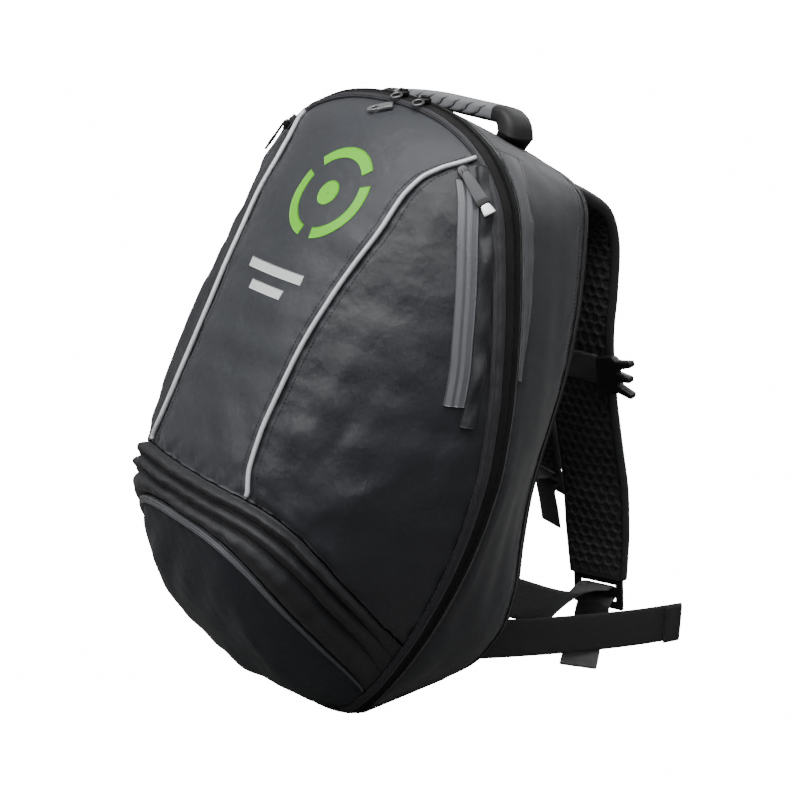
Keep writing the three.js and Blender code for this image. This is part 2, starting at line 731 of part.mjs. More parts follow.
/** Centre line, directions across and widths of one shoulder strap. */
function strapLine(side) {
  const swings = side < 0;
  const centres = strapRows.map((row, i) => {
    const t = i / (strapRows.length - 1);
    const bow = strapBow * (swings ? THREE.MathUtils.lerp(1, swingBow, t) : 1);
    const drop = bagHeight * (swings ? THREE.MathUtils.lerp(1, swingDrop, t) : 1);
    const inwards = swings ? swingIn * t ** 2 : 0;
    const x = side * (row[strapOf('mid')] * halfWidth - inwards);
    return new THREE.Vector3(x, padFace + gap + row[strapOf('back')] * bow, -row[strapOf('down')] * drop);
  });
  const acrosses = strapRows.map((row) => {
    const angle = (row[strapOf('turn')] * Math.PI) / 2;
    return turnToWorld(Math.cos(angle), side * Math.sin(angle), 0);
  });
  const widths = strapRows.map((row) => row[strapOf('width')] * strapWidth);
  return { centres: centres.map((point) => place(point)), acrosses, widths };
}

const strapLines = sides.map(([, side]) => strapLine(side));
sides.forEach(([name], i) => {
  const { centres, acrosses, widths } = strapLines[i];
  add(`shoulder_strap_${name}`, band(centres, acrosses, widths, strapThick, 22, 0.3), airMesh, 0.9);
});

/** Frame at the end of a strap: place, way on, across and outward. */
function strapEnd({ centres, acrosses }) {
  const last = centres.length - 1;
  const way = centres[last].clone().sub(centres[last - 1]).normalize();
  const across = acrosses[last].clone();
  across.addScaledVector(way, -across.dot(way)).normalize();
  return { place: centres[last], way, across, outward: way.clone().cross(across) };
}

/** Matrix that lays a flat shape out from a place along two directions. */
function layOut(origin, across, way) {
  const normal = across.clone().cross(way);
  return new THREE.Matrix4().makeBasis(across, way, normal).setPosition(origin);
}

/** Rectangle path, centred in x, from one height to another. */
function slot(width, low, high) {
  const path = new THREE.Path();
  path.moveTo(-width / 2, low);
  path.lineTo(width / 2, low);
  path.lineTo(width / 2, high);
  path.lineTo(-width / 2, high);
  path.closePath();
  return path;
}

// Ladder locks at the ends of the shoulder straps
const slotHeight = (lockHeight - 3 * lockBar) / 2;
const slotLows = [lockBar, 2 * lockBar + slotHeight];
const strapEnds = strapLines.map(strapEnd);
sides.forEach(([name], i) => {
  const { place: end, way, across } = strapEnds[i];
  const plate = new THREE.Shape(slot(lockWidth, 0, lockHeight).getPoints());
  plate.holes = slotLows.map((low) => slot(lockWidth - 2 * lockBar, low, low + slotHeight));
  const lock = new THREE.ExtrudeGeometry(plate, { depth: lockThick, bevelEnabled: false });
  lock.translate(0, gap, -lockThick / 2).applyMatrix4(layOut(end, across, way));
  add(`ladder_lock_${name}`, lock, plastic, 0.4);
});

// Lower webbing: from the back panel through the ladder lock, with a free tail.
// Ahead is towards the bag and below is down the strap, both from the strap's end.
const lockMiddle = gap + lockHeight / 2;
const clear = lockThick / 2 + webThick / 2 + lay;
const slotMiddle = (lockBar + slotHeight) / 2;
const tailStart = lockMiddle + slotMiddle + webWidth / 9;
const tailAhead = 15;
const tailDip = 10; // of the right tail, from the lock to the floor
const anchorStub = 12; // straight out of the back panel
const tailWay = new THREE.Vector3(0.577, -0.817, 0); // of the right tail, along the floor
const tailAcross = new THREE.Vector3(0.817, 0.577, 0);
const threadRows = [
  [webReach, -1.6],
  [webReach / 2, -1.4],
  [webReach / 6, -1.15],
  [0, -1],
  [-clear * 0.85, -0.72],
  [-clear, 0],
  [-clear * 0.85, 0.72],
  [0, 1],
].map(([ahead, below]) => [ahead, lockMiddle + below * slotMiddle]);
const anchorDown = 0.79;
const anchorAcross = 0.6;
const rearward = turnToWorld(0, 1, 0);

/** Place on the back panel's rear face. */
function onPad(down, across) {
  const u = (across * halfWidth) / (halfWidth * rearAt(down) + gussetProud);
  return padPoint(down, u, padThick(down, u));
}

sides.forEach(([name, side], i) => {
  const { place: end, way, across } = strapEnds[i];
  const ahead = way.clone().cross(across).multiplyScalar(Math.sign(-way.clone().cross(across).y));
  const spot = (forward, below) => end.clone().addScaledVector(ahead, forward).addScaledVector(way, below);
  const anchor = onPad(anchorDown, side * anchorAcross);
  const start = anchor.clone().addScaledVector(rearward, lay);
  const tail = side > 0
    ? [
      spot(tailAhead * 0.6, tailStart),
      spot(tailAhead, tailStart + tailDip).setZ(webThick * 1.9),
      ...[0.45, 0.7, 1].map((t) => spot(tailAhead, 0).addScaledVector(tailWay, tailRun * t).setZ(webThick / 2)),
    ]
    : [0, 0.5, 1].map((t) => spot(tailAhead * (0.33 + 0.27 * t), tailStart + t * tailDrop));
  const centres = [start, start.clone().addScaledVector(rearward, anchorStub), ...threadRows.map(([f, b]) => spot(f, b)), ...tail];
  const upright = turnToWorld(0, 0, 1);
  const acrosses = centres.map((unused, k) => {
    if (k < 2) return upright.clone();
    if (k < 5) return upright.clone().lerp(across, (k - 1) / 3).normalize();
    return side > 0 && k >= centres.length - 4 ? tailAcross.clone() : across.clone();
  });
  const widths = centres.map((unused, k) => (k < 3 ? webWidth : tailWidth));
  add(`lower_webbing_${name}`, band(centres, acrosses, widths, webThick, 44), webbing, 0.8);
});

// Waist straps: from the foot of the back panel, out and down to the floor, on edge
const waistWay = new THREE.Vector3(0.37, 0.93, 0).normalize();
for (const [name, side] of sides) {
  const start = onPad(0.895, side * 0.55).addScaledVector(rearward, lay + gap);
  start.y += webThick / 2;
  const way = new THREE.Vector3(side * waistWay.x, waistWay.y, 0);
  const centres = steps(0, 1, 5).map((t) => {
    const point = start.clone().addScaledVector(way, waistLength * t);
    point.z = webWidth / 2 + (start.z - webWidth / 2) * (1 - t) ** 1.5;
    return point;
  });
  const acrosses = centres.map(() => new THREE.Vector3(0, 0, 1));
  const widths = centres.map(() => webWidth);
  add(`waist_strap_${name}`, band(centres, acrosses, widths, webThick, 8), webbing, 0.8);
  const end = centres[centres.length - 1].clone();
  const out = new THREE.Vector3(way.y, -way.x, 0).multiplyScalar(side);
  end.addScaledVector(way, -waistFold / 2).addScaledVector(out, webThick + lay);
  add(`waist_fold_${name}`, block(end, way, out, waistFold, webWidth, webThick, 0), webbing, 0.8);
}

// Sternum webbing across each strap's inner face, with one half of a buckle on each
const sternumRow = 5.55; // place between the rows of the strap's table
sides.forEach(([name, side], i) => {
  const { centres, acrosses } = strapLines[i];
  const line = new THREE.CatmullRomCurve3(centres, false, 'centripetal');
  const part = sternumRow / (centres.length - 1);
  const way = line.getTangent(part);
  const across = acrosses[Math.round(sternumRow)].clone().multiplyScalar(side);
  across.addScaledVector(way, -across.dot(way)).normalize();
  const inner = way.clone().cross(across);
  inner.multiplyScalar(inner.y > 0 ? -1 : 1);
  const face = line.getPoint(part).addScaledVector(inner, strapThick / 2 + lay + webThick / 2);
  add(`sternum_strap_${name}`, block(face, across, inner, sternumLength, sternumWidth, webThick, 0), webbing, 0.8);
  const lift = (buckleThick - webThick) / 2;
  const tip = face.clone().addScaledVector(across, sternumLength / 2 + gap).addScaledVector(inner, lift);
  const outline = side > 0
    ? [[0, -0.4], [0.42, -0.5], [0.5, -0.5], [0.62, -0.42], [1, -0.5], [1.04, -0.36], [0.7, -0.22], [0.62, -0.12],
      [0.98, -0.07], [0.98, 0.07], [0.62, 0.12], [0.7, 0.22], [1.04, 0.36], [1, 0.5], [0.62, 0.42], [0.5, 0.5],
      [0.42, 0.5], [0, 0.4]]
    : [[0, -0.42], [0.3, -0.5], [0.9, -0.5], [1, -0.4], [1, 0.4], [0.9, 0.5], [0.3, 0.5], [0, 0.42]];
  const flat = new THREE.Shape(outline.map(([l, w]) => new THREE.Vector2(l * buckleLength, w * buckleWidth)));
  const buckle = new THREE.ExtrudeGeometry(flat, { depth: buckleThick, bevelEnabled: false });
  const up = across.clone().cross(inner).negate();
  buckle.translate(0, 0, -buckleThick / 2).applyMatrix4(layOut(tip, across, up));
  add(side > 0 ? 'buckle_male' : 'buckle_female', buckle, plastic, 0.4);
});

export default bag;
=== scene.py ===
"""Looks of a soft motorcycle backpack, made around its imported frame.

The bag leans back on its base panel. Lengths are metres. A place on the front shell is given by
how far it lies down the zip arch, from 0 at the crown to 1 at the foot, and across from -1 to 1.
A place on the gusset is given along the arch from -1 to 1, and back from the zip from 0 to 1.
"""

from __future__ import annotations

import json
import logging
import math
from collections.abc import Callable, Sequence
from dataclasses import dataclass
from enum import Enum

import bmesh
import bpy
import numpy as np
from mathutils import Matrix, Vector

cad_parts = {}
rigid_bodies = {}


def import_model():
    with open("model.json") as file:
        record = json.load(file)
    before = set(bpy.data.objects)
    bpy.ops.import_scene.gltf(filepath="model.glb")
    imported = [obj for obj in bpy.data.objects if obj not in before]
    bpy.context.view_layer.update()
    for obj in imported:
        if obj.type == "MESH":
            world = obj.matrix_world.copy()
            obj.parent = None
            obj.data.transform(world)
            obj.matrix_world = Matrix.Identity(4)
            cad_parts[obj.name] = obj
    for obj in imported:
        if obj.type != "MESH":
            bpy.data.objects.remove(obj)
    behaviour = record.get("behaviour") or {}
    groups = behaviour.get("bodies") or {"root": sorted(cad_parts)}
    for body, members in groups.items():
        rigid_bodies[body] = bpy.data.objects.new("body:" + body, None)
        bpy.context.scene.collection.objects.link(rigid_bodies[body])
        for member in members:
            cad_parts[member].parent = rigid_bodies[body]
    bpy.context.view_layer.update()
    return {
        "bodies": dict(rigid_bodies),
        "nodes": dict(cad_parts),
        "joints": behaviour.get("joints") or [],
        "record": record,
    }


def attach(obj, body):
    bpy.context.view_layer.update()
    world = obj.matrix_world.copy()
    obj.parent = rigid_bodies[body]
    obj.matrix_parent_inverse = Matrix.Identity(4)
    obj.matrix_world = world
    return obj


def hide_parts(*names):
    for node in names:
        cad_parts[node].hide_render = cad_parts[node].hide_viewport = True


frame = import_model()

Array = np.ndarray
log = logging.getLogger("backpack")
BODY = "root"
SIDES = (("left", -1), ("right", 1))


class Curve:
    """Monotone cubic through the rows of a short table."""

    def __init__(self, places: Sequence[float], values: Sequence[float]) -> None:
        """Works out the slopes.

        Args:
            places: Where the rows lie, in rising order.
            values: The value of each row.
        """
        self.x = np.asarray(places, float)
        self.y = np.asarray(values, float)
        steep = np.diff(self.y) / np.diff(self.x)
        both = steep[:-1] * steep[1:]
        total = np.where(both > 0, steep[:-1] + steep[1:], 1.0)
        inner = np.where(both > 0, 2 * both / total, 0.0)
        self.slope = np.concatenate([steep[:1], inner, steep[-1:]])

    def __call__(self, value: Array | float) -> Array:
        """Value at one or many places."""
        at = np.clip(value, self.x[0], self.x[-1])
        i = np.clip(np.searchsorted(self.x, at, side="left") - 1, 0, len(self.x) - 2)
        step = self.x[i + 1] - self.x[i]
        t = (at - self.x[i]) / step
        rise = self.y[i] * (2 * t**3 - 3 * t**2 + 1) + self.y[i + 1] * (3 * t**2 - 2 * t**3)
        bend = self.slope[i] * (t**3 - 2 * t**2 + t) + self.slope[i + 1] * (t**3 - t**2)
        return rise + step * bend


def smooth(value: Array | float, low: float, high: float) -> Array:
    """Smooth step from 0 at low to 1 at high."""
    t = np.clip((np.asarray(value, float) - low) / (high - low), 0, 1)
    return t * t * (3 - 2 * t)


def bell(distance: Array, width: float) -> Array:
    """Bell curve of a distance."""
    return np.exp(-((distance / width) ** 2))


def crowded(count: int) -> Array:
    """Places from -1 to 1 that crowd towards both ends."""
    return np.sin(np.linspace(-1, 1, count) * math.pi / 2)


def ripple(places: Array, seed: int, octaves: Sequence[float]) -> Array:
    """Smooth random wave along a line or over a surface.

    Args:
        places: Points, with their coordinates in the last axis.
        seed: Seed of the wave's directions and phases.
        octaves: Wave lengths, in metres.

    Returns:
        Heights between about -1 and 1.
    """
    rng = np.random.default_rng(seed)
    total = np.zeros(places.shape[:-1])
    for length in octaves:
        for _ in range(4):
            way = rng.normal(size=places.shape[-1])
            way *= 2 * math.pi / (length * np.linalg.norm(way))
            total += np.sin(places @ way + rng.uniform(0, 2 * math.pi))
    return total / (2.2 * math.sqrt(len(octaves)))


@dataclass(frozen=True)
class BagSizes:
    """Driving sizes of the bag."""

    height: float = 0.497
    half_width: float = 0.167
    front_depth: float = 0.155
    gusset_depth: float = 0.070
    crown_drop: float = 0.024
    base_panel: float = 0.003
    back_pad: float = 0.012
    gap: float = 0.0003
    lean: float = math.radians(12)
    fullness: float = 1.42
    wall: float = 0.0022
    gusset_proud: float = 0.0015
    zip_reach: float = 0.011
    binding_width: float = 0.010
    binding_crown: float = 0.0045


@dataclass(frozen=True)
class Section:
    """One section of the shell, its lengths as shares of the bag's sizes."""

    down: float
    half: float
    depth: float
    full: float
    rear: float


SECTIONS = (
    Section(0.0, 0.0, 0.0, 2.0, 0.0),
    Section(0.006, 0.24, 0.05, 2.0, 0.39),
    Section(0.016, 0.39, 0.11, 2.0, 0.51),
    Section(0.03, 0.5, 0.18, 2.0, 0.67),
    Section(0.052, 0.625, 0.265, 2.0, 0.785),
    Section(0.08, 0.72, 0.34, 2.0, 0.83),
    Section(0.125, 0.815, 0.44, 2.0, 0.855),
    Section(0.18, 0.868, 0.54, 2.1, 0.877),
    Section(0.24, 0.912, 0.63, 2.2, 0.893),
    Section(0.3, 0.948, 0.715, 2.3, 0.897),
    Section(0.36, 0.975, 0.79, 2.4, 0.888),
    Section(0.42, 0.995, 0.86, 2.5, 0.868),
    Section(0.49, 1.0, 0.94, 2.6, 0.842),
    Section(0.57, 0.972, 1.01, 2.85, 0.825),
    Section(0.645, 0.922, 1.035, 3.2, 0.832),
    Section(0.72, 0.85, 0.99, 3.4, 0.849),
    Section(0.795, 0.76, 0.87, 3.4, 0.83),
    Section(0.87, 0.65, 0.68, 3.3, 0.745),
    Section(0.91, 0.582, 0.545, 3.2, 0.677),
    Section(0.95, 0.508, 0.38, 3.1, 0.585),
    Section(0.98, 0.446, 0.25, 3.0, 0.505),
    Section(1.0, 0.4, 0.15, 3.0, 0.45),
)

# Where the silver piping lies across the shell: down, across
PIPING = (
    (0.0, 1.0), (0.05, 0.985), (0.065, 0.875), (0.084, 0.71), (0.104, 0.605), (0.134, 0.54),
    (0.179, 0.505), (0.241, 0.44), (0.285, 0.405), (0.362, 0.36), (0.422, 0.345), (0.481, 0.34),
    (0.534, 0.355), (0.572, 0.392),
)
PIPING_START = 0.0652

# Where the side pocket zip lies across the shell: down, across
SIDE_ZIP = (
    (0.088, 0.83), (0.15, 0.85), (0.2, 0.868), (0.25, 0.882), (0.305, 0.893), (0.365, 0.903), (0.4, 0.904),
)

# How far the rain flap reaches back over the gusset: down, share of the gusset's depth
FLAP = ((0.052, 0.27), (0.08, 0.21), (0.125, 0.18), (0.18, 0.18), (0.24, 0.17), (0.3, 0.1), (0.36, 0.04))


@dataclass(frozen=True)
class RingLine:
    """A line round the lower front: its height at the middle, its fall to the zip and its turn."""

    middle: float
    fall: float
    turn: float

    def __call__(self, across: Array) -> Array:
        """How far down the line lies at a place across."""
        return self.middle + self.fall * np.abs(across) ** self.turn


RINGS = (
    RingLine(0.582, 0.27, 4.6),
    RingLine(0.603, 0.28, 4.7),
    RingLine(0.624, 0.305, 4.5),
    RingLine(0.647, 0.345, 3.3),
)


class BagForm:
    """The bag's own surfaces, as places in the frame."""

    def __init__(self, sizes: BagSizes) -> None:
        """Makes the curves through the table of sections.

        Args:
            sizes: The bag's driving sizes.
        """
        self.sizes = sizes
        downs = [row.down for row in SECTIONS]
        self.half = Curve(downs, [row.half for row in SECTIONS])
        self.depth = Curve(downs, [row.depth for row in SECTIONS])
        self.full = Curve(downs, [row.full for row in SECTIONS])
        self.rear = Curve(downs, [row.rear for row in SECTIONS])
        self.seat = sizes.base_panel + sizes.gap
        self.back_face = sizes.gusset_depth + sizes.gap
        self.pad_face = self.back_face + sizes.back_pad
        self.base_middle = (self.pad_face - sizes.front_depth * float(self.depth(1.0))) / 2

    def place(self, local: Array, floor: float | None = None) -> Array:
        """World places of points of the leaning bag, never lower than the given floor."""
        s = self.sizes
        x, v, w = local[..., 0], local[..., 1], local[..., 2] + s.height
        up = w * math.cos(s.lean) - v * math.sin(s.lean) + self.seat
        back = v * math.cos(s.lean) + w * math.sin(s.lean) - self.base_middle / math.cos(s.lean)
        up = np.maximum(up, self.seat if floor is None else floor)
        return np.stack([x, back, up], -1)

    def turn(self, x: float, v: float, w: float) -> Array:
        """World direction of a direction in the leaning bag."""
        lean = self.sizes.lean
        way = np.array([x, v * math.cos(lean) + w * math.sin(lean), w * math.cos(lean) - v * math.sin(lean)])
        return way / np.linalg.norm(way)

    def front_local(self, down: Array, across: Array) -> Array:
        """Point of the front shell in the leaning bag."""
        z = self.sizes
        down, across = np.broadcast_arrays(np.asarray(down, float), np.clip(across, -1, 1))
        section = np.maximum(1 - np.abs(across) ** self.full(down), 0) ** (1 / z.fullness)
        v = -z.front_depth * self.depth(down) * section
        w = -z.height * down + v * math.tan(z.lean) * down**6
        return np.stack([z.half_width * self.half(down) * across, v, w], -1)

    def stretch_across(self, down: Array, across: Array) -> Array:
        """Length of the front's cloth for each unit across, near a place on it."""
        ahead, behind = self.front_local(down, across + 0.01), self.front_local(down, across - 0.01)
        return np.linalg.norm(ahead - behind, axis=-1) / 0.02

    def gusset_local(self, along: Array, share: Array) -> Array:
        """Point of the gusset in the leaning bag."""
        z = self.sizes
        along, share = np.broadcast_arrays(np.asarray(along, float), np.asarray(share, float))
        down = np.abs(along)
        half = self.half(down) * (1 - share) + self.rear(down) * share
        v = z.gusset_depth * share
        w = -z.height + (z.height - z.crown_drop * share) * (1 - down) + v * math.tan(z.lean) * down**6
        return np.stack([np.sign(along) * z.half_width * half, v, w], -1)

    def normals(self, surface: Callable, a: Array, b: Array, low: tuple, high: tuple) -> Array:
        """Outward unit normals of a surface of the leaning bag."""
        step = 0.002
        a_low, a_high = np.maximum(a - step, low[0]), np.minimum(a + step, high[0])
        b_low, b_high = np.maximum(b - step, low[1]), np.minimum(b + step, high[1])
        first = surface(a_high, b) - surface(a_low, b)
        second = surface(a, b_high) - surface(a, b_low)
        normal = np.cross(first, second)
        normal /= np.maximum(np.linalg.norm(normal, axis=-1, keepdims=True), 1e-12)
        heart = np.array([0, 0, -self.sizes.height / 2])
        outward = np.sum(normal * (surface(a, b) - heart), -1, keepdims=True)
        return np.where(outward < 0, -normal, normal)

    def front(self, down: Array, across: Array, lift: Array | float = 0.0) -> Array:
        """World place at a height over the front shell."""
        down, across, lift = np.broadcast_arrays(np.asarray(down, float), across, lift)
        normal = self.normals(self.front_local, down, across, (0, -1), (1, 1))
        return self.place(self.front_local(down, across) + normal * lift[..., None])

    def gusset(self, along: Array, share: Array, lift: Array | float = 0.0) -> Array:
        """World place at a height over the gusset, straight out from the arch."""
        along, share, lift = np.broadcast_arrays(np.asarray(along, float), share, lift)
        normal = self.normals(self.gusset_local, along, share, (-1, 0), (1, 1))
        normal[..., 1] = 0
        normal /= np.linalg.norm(normal, axis=-1, keepdims=True)
        return self.place(self.gusset_local(along, share) + normal * lift[..., None])

    def inside_arch(self, along: Array, reach: Array | float) -> tuple[Array, Array]:
        """Front shell place that lies a given reach inside the zip arch, found by halving.

        Args:
            along: Places along the arch.
            reach: Distance from the arch, measured over the shell.

        Returns:
            How far down and how far across those places are.
        """
        along, reach = np.broadcast_arrays(np.asarray(along, float), np.asarray(reach, float))
        down, side = np.abs(along), np.where(along < 0, -1.0, 1.0)
        zero = np.zeros_like(down)
        edge = self.gusset_local(side * down, zero)
        above = self.gusset_local(side * np.clip(down - 0.004, 1e-9, 1), zero)
        below = self.gusset_local(side * np.clip(down + 0.004, 1e-9, 1), zero)
        run = below - above
        size = np.maximum(np.hypot(run[..., 0], run[..., 2]), 1e-12)
        way_x, way_w = run[..., 2] / size * side, -run[..., 0] / size * side
        crown = down < 0.002
        way_x, way_w = np.where(crown, 0, way_x), np.where(crown, -1, way_w)

        def found(k: Array) -> tuple[Array, Array]:
            at = np.clip(down - way_w * k / self.sizes.height, 0, 1)
            half = np.maximum(self.sizes.half_width * self.half(at), 0.001)
            return at, np.clip((edge[..., 0] + way_x * k) / half, -1, 1)

        low, high = zero.copy(), zero + 0.06
        for _ in range(30):
            k = (low + high) / 2
            near = np.linalg.norm(self.front_local(*found(k)) - edge, axis=-1) < reach
            low, high = np.where(near, k, low), np.where(near, high, k)
        return found(low)


class MeshMaker:
    """Turns grids of points into Blender objects."""

    def __init__(self) -> None:
        """Starts with no piece made."""
        self.made: list[bpy.types.Object] = []

    def build(self, name: str, points: Array, faces: list, uv: Array | None = None) -> bpy.types.Object:
        """Makes one object from points and faces, with its faces outwards.

        Args:
            name: Name of the object.
            points: World places, one row each.
            faces: Lists of indices.
            uv: Flat place of each point on the cloth, in metres.

        Returns:
            The new object.
        """
        mesh = bpy.data.meshes.new(name)
        mesh.from_pydata([tuple(p) for p in points.tolist()], [], faces)
        if uv is not None:
            layer = mesh.uv_layers.new(name="UVMap")
            index = np.empty(len(mesh.loops), np.int32)
            mesh.loops.foreach_get("vertex_index", index)
            layer.uv.foreach_set("vector", np.ascontiguousarray(uv[index], np.float32).ravel())
        mesh.update()
        obj = bpy.data.objects.new(name, mesh)
        bpy.context.scene.collection.objects.link(obj)
        work = bmesh.new()
        work.from_mesh(mesh)
        if work.calc_volume(signed=True) < 0:
            bmesh.ops.reverse_faces(work, faces=work.faces)
        work.to_mesh(mesh)
        work.free()
        mesh.shade_smooth()
        self.made.append(obj)
        return obj

    def wall(self, name: str, outer: Array, inner: Array, uv: Array | None = None) -> bpy.types.Object:
        """Closed wall between an outer and an inner grid of points."""
        rows, cols = outer.shape[:2]
        points = np.concatenate([outer.reshape(-1, 3), inner.reshape(-1, 3)])
        index = np.arange(rows * cols).reshape(rows, cols)
        under = index + rows * cols
        faces = grid_faces(index) + [f[::-1] for f in grid_faces(under)]
        rim = np.concatenate([index[0, :-1], index[:-1, -1], index[-1, :0:-1], index[:0:-1, 0]])
        nxt = np.roll(rim, -1)
        faces += [[b, a, a + rows * cols, b + rows * cols] for a, b in zip(rim.tolist(), nxt.tolist())]
        flat = cloth_uv(outer) if uv is None else uv
        return self.build(name, points, faces, np.concatenate([flat.reshape(-1, 2)] * 2))

    def rings(self, name: str, rings: Array, uv: Array | None = None) -> bpy.types.Object:
        """Solid through rings of points, with closed ends."""
        rows, cols = rings.shape[:2]
        index = np.arange(rows * cols).reshape(rows, cols)
        loop = np.concatenate([index, index[:, :1]], 1)
        faces = grid_faces(loop) + [index[0].tolist(), index[-1, ::-1].tolist()]
        flat = ring_uv(rings) if uv is None else uv
        return self.build(name, rings.reshape(-1, 3), faces, flat.reshape(-1, 2))


def grid_faces(index: Array) -> list[list[int]]:
    """Quads of a grid of point numbers."""
    quads = np.stack([index[:-1, :-1], index[1:, :-1], index[1:, 1:], index[:-1, 1:]], -1)
    return quads.reshape(-1, 4).tolist()


def cloth_uv(grid: Array) -> Array:
    """Flat place of each point of a grid, measured over it from its middle column."""
    across = np.concatenate([np.zeros((grid.shape[0], 1)), np.linalg.norm(np.diff(grid, axis=1), axis=-1)], 1)
    across = np.cumsum(across, 1)
    middle = grid.shape[1] // 2
    across -= across[:, middle : middle + 1]
    down = np.linalg.norm(np.diff(grid[:, middle], axis=0), axis=-1)
    down = np.concatenate([[0], np.cumsum(down)])
    return np.stack([across, np.broadcast_to(down[:, None], across.shape)], -1)


def ring_uv(rings: Array) -> Array:
    """Flat place of each point of a tube: round it, and along its first line."""
    closed = np.concatenate([rings, rings[:, :1]], 1)
    around = np.cumsum(np.linalg.norm(np.diff(closed, axis=1), axis=-1), 1)
    around = np.concatenate([np.zeros((rings.shape[0], 1)), around[:, :-1]], 1)
    centres = rings.mean(1)
    along = np.concatenate([[0], np.cumsum(np.linalg.norm(np.diff(centres, axis=0), axis=-1))])
    return np.stack([around, np.broadcast_to(along[:, None], around.shape)], -1)


class Spline:
    """Centripetal curve through points, with a direction across and a width at each."""

    def __init__(self, points: Array, acrosses: Array | None = None, widths: Array | None = None) -> None:
        """Keeps the points, and what goes with them.

        Args:
            points: The points that the curve passes.
            acrosses: Direction across at each point.
            widths: Width at each point.
        """
        self.points = np.asarray(points, float)
        self.acrosses = acrosses
        self.widths = widths

    def at(self, t: Array) -> Array:
        """Points at shares of the way, with the same share between any two neighbours."""
        pts = self.points
        ends = np.concatenate([[2 * pts[0] - pts[1]], pts, [2 * pts[-1] - pts[-2]]])
        place = np.clip(np.asarray(t, float), 0, 1) * (len(pts) - 1)
        i = np.minimum(place.astype(int), len(pts) - 2)
        f = (place - i)[..., None]
        p0, p1, p2, p3 = ends[i], ends[i + 1], ends[i + 2], ends[i + 3]
        d0, d1, d2 = (np.sqrt(np.linalg.norm(b - a, axis=-1, keepdims=True)) for a, b in ((p0, p1), (p1, p2), (p2, p3)))
        m1 = ((p1 - p0) / d0 - (p2 - p0) / (d0 + d1) + (p2 - p1) / d1) * d1
        m2 = ((p2 - p1) / d1 - (p3 - p1) / (d1 + d2) + (p3 - p2) / d2) * d1
        return (
            (2 * f**3 - 3 * f**2 + 1) * p1 + (f**3 - 2 * f**2 + f) * m1
            + (3 * f**2 - 2 * f**3) * p2 + (f**3 - f**2) * m2
        )

    def frames(self, count: int) -> tuple[Array, Array, Array, Array, Array]:
        """Places, ways on, directions across, normals and widths at even shares of the way."""
        t = np.linspace(0, 1, count)
        place = self.at(t)
        way = self.at(np.minimum(t + 1e-4, 1)) - self.at(np.maximum(t - 1e-4, 0))
        way /= np.linalg.norm(way, axis=-1, keepdims=True)
        spot = t * (len(self.points) - 1)
        i = np.minimum(spot.astype(int), len(self.points) - 2)
        f = (spot - i)[:, None]
        across = np.asarray(self.acrosses)[i] * (1 - f) + np.asarray(self.acrosses)[i + 1] * f
        across -= way * np.sum(across * way, -1, keepdims=True)
        across /= np.linalg.norm(across, axis=-1, keepdims=True)
        widths = np.asarray(self.widths)
        width = widths[i] * (1 - f[:, 0]) + widths[i + 1] * f[:, 0]
        return place, way, across, np.cross(way, across), width


@dataclass(frozen=True)
class Fold:
    """One fold in the cloth of the front: a soft ridge between two places, or a dent if its height is below 0."""

    start: tuple[float, float]
    end: tuple[float, float]
    width: float
    height: float


# Folds of the front, each from one place (down, across) to another
FRONT_FOLDS = (
    Fold((0.30, 0.60), (0.52, 0.52), 0.010, 0.0022),
    Fold((0.36, 0.72), (0.55, 0.58), 0.009, -0.0018),
    Fold((0.42, 0.50), (0.56, 0.44), 0.008, 0.0018),
    Fold((0.46, 0.66), (0.60, 0.80), 0.012, 0.0024),
    Fold((0.50, 0.46), (0.585, 0.62), 0.009, -0.0016),
    Fold((0.50, 0.86), (0.60, 0.62), 0.010, 0.0020),
    Fold((0.18, 0.62), (0.33, 0.58), 0.012, -0.0014),
    Fold((0.10, 0.72), (0.24, 0.70), 0.009, 0.0012),
    Fold((0.44, 0.92), (0.62, 0.94), 0.008, 0.0016),
    Fold((0.20, 0.10), (0.42, 0.22), 0.020, 0.0012),
    Fold((0.30, -0.30), (0.50, -0.24), 0.018, -0.0012),
    Fold((0.46, 0.05), (0.56, 0.25), 0.012, 0.0016),
    Fold((0.44, -0.28), (0.57, -0.05), 0.012, -0.0014),
    Fold((0.30, -0.62), (0.54, -0.52), 0.011, 0.0020),
    Fold((0.40, -0.84), (0.56, -0.60), 0.010, -0.0018),
    Fold((0.18, -0.66), (0.34, -0.60), 0.012, 0.0014),
    Fold((0.50, -0.90), (0.62, -0.80), 0.010, 0.0018),
)

# Folds of the bottom pocket
POCKET_FOLDS = (
    Fold((0.70, -0.20), (0.86, -0.45), 0.014, 0.0022),
    Fold((0.70, 0.15), (0.90, 0.40), 0.016, -0.0022),
    Fold((0.74, 0.42), (0.92, 0.62), 0.010, 0.0020),
    Fold((0.80, -0.60), (0.95, -0.35), 0.012, 0.0018),
    Fold((0.84, 0.05), (0.97, 0.10), 0.018, 0.0018),
)


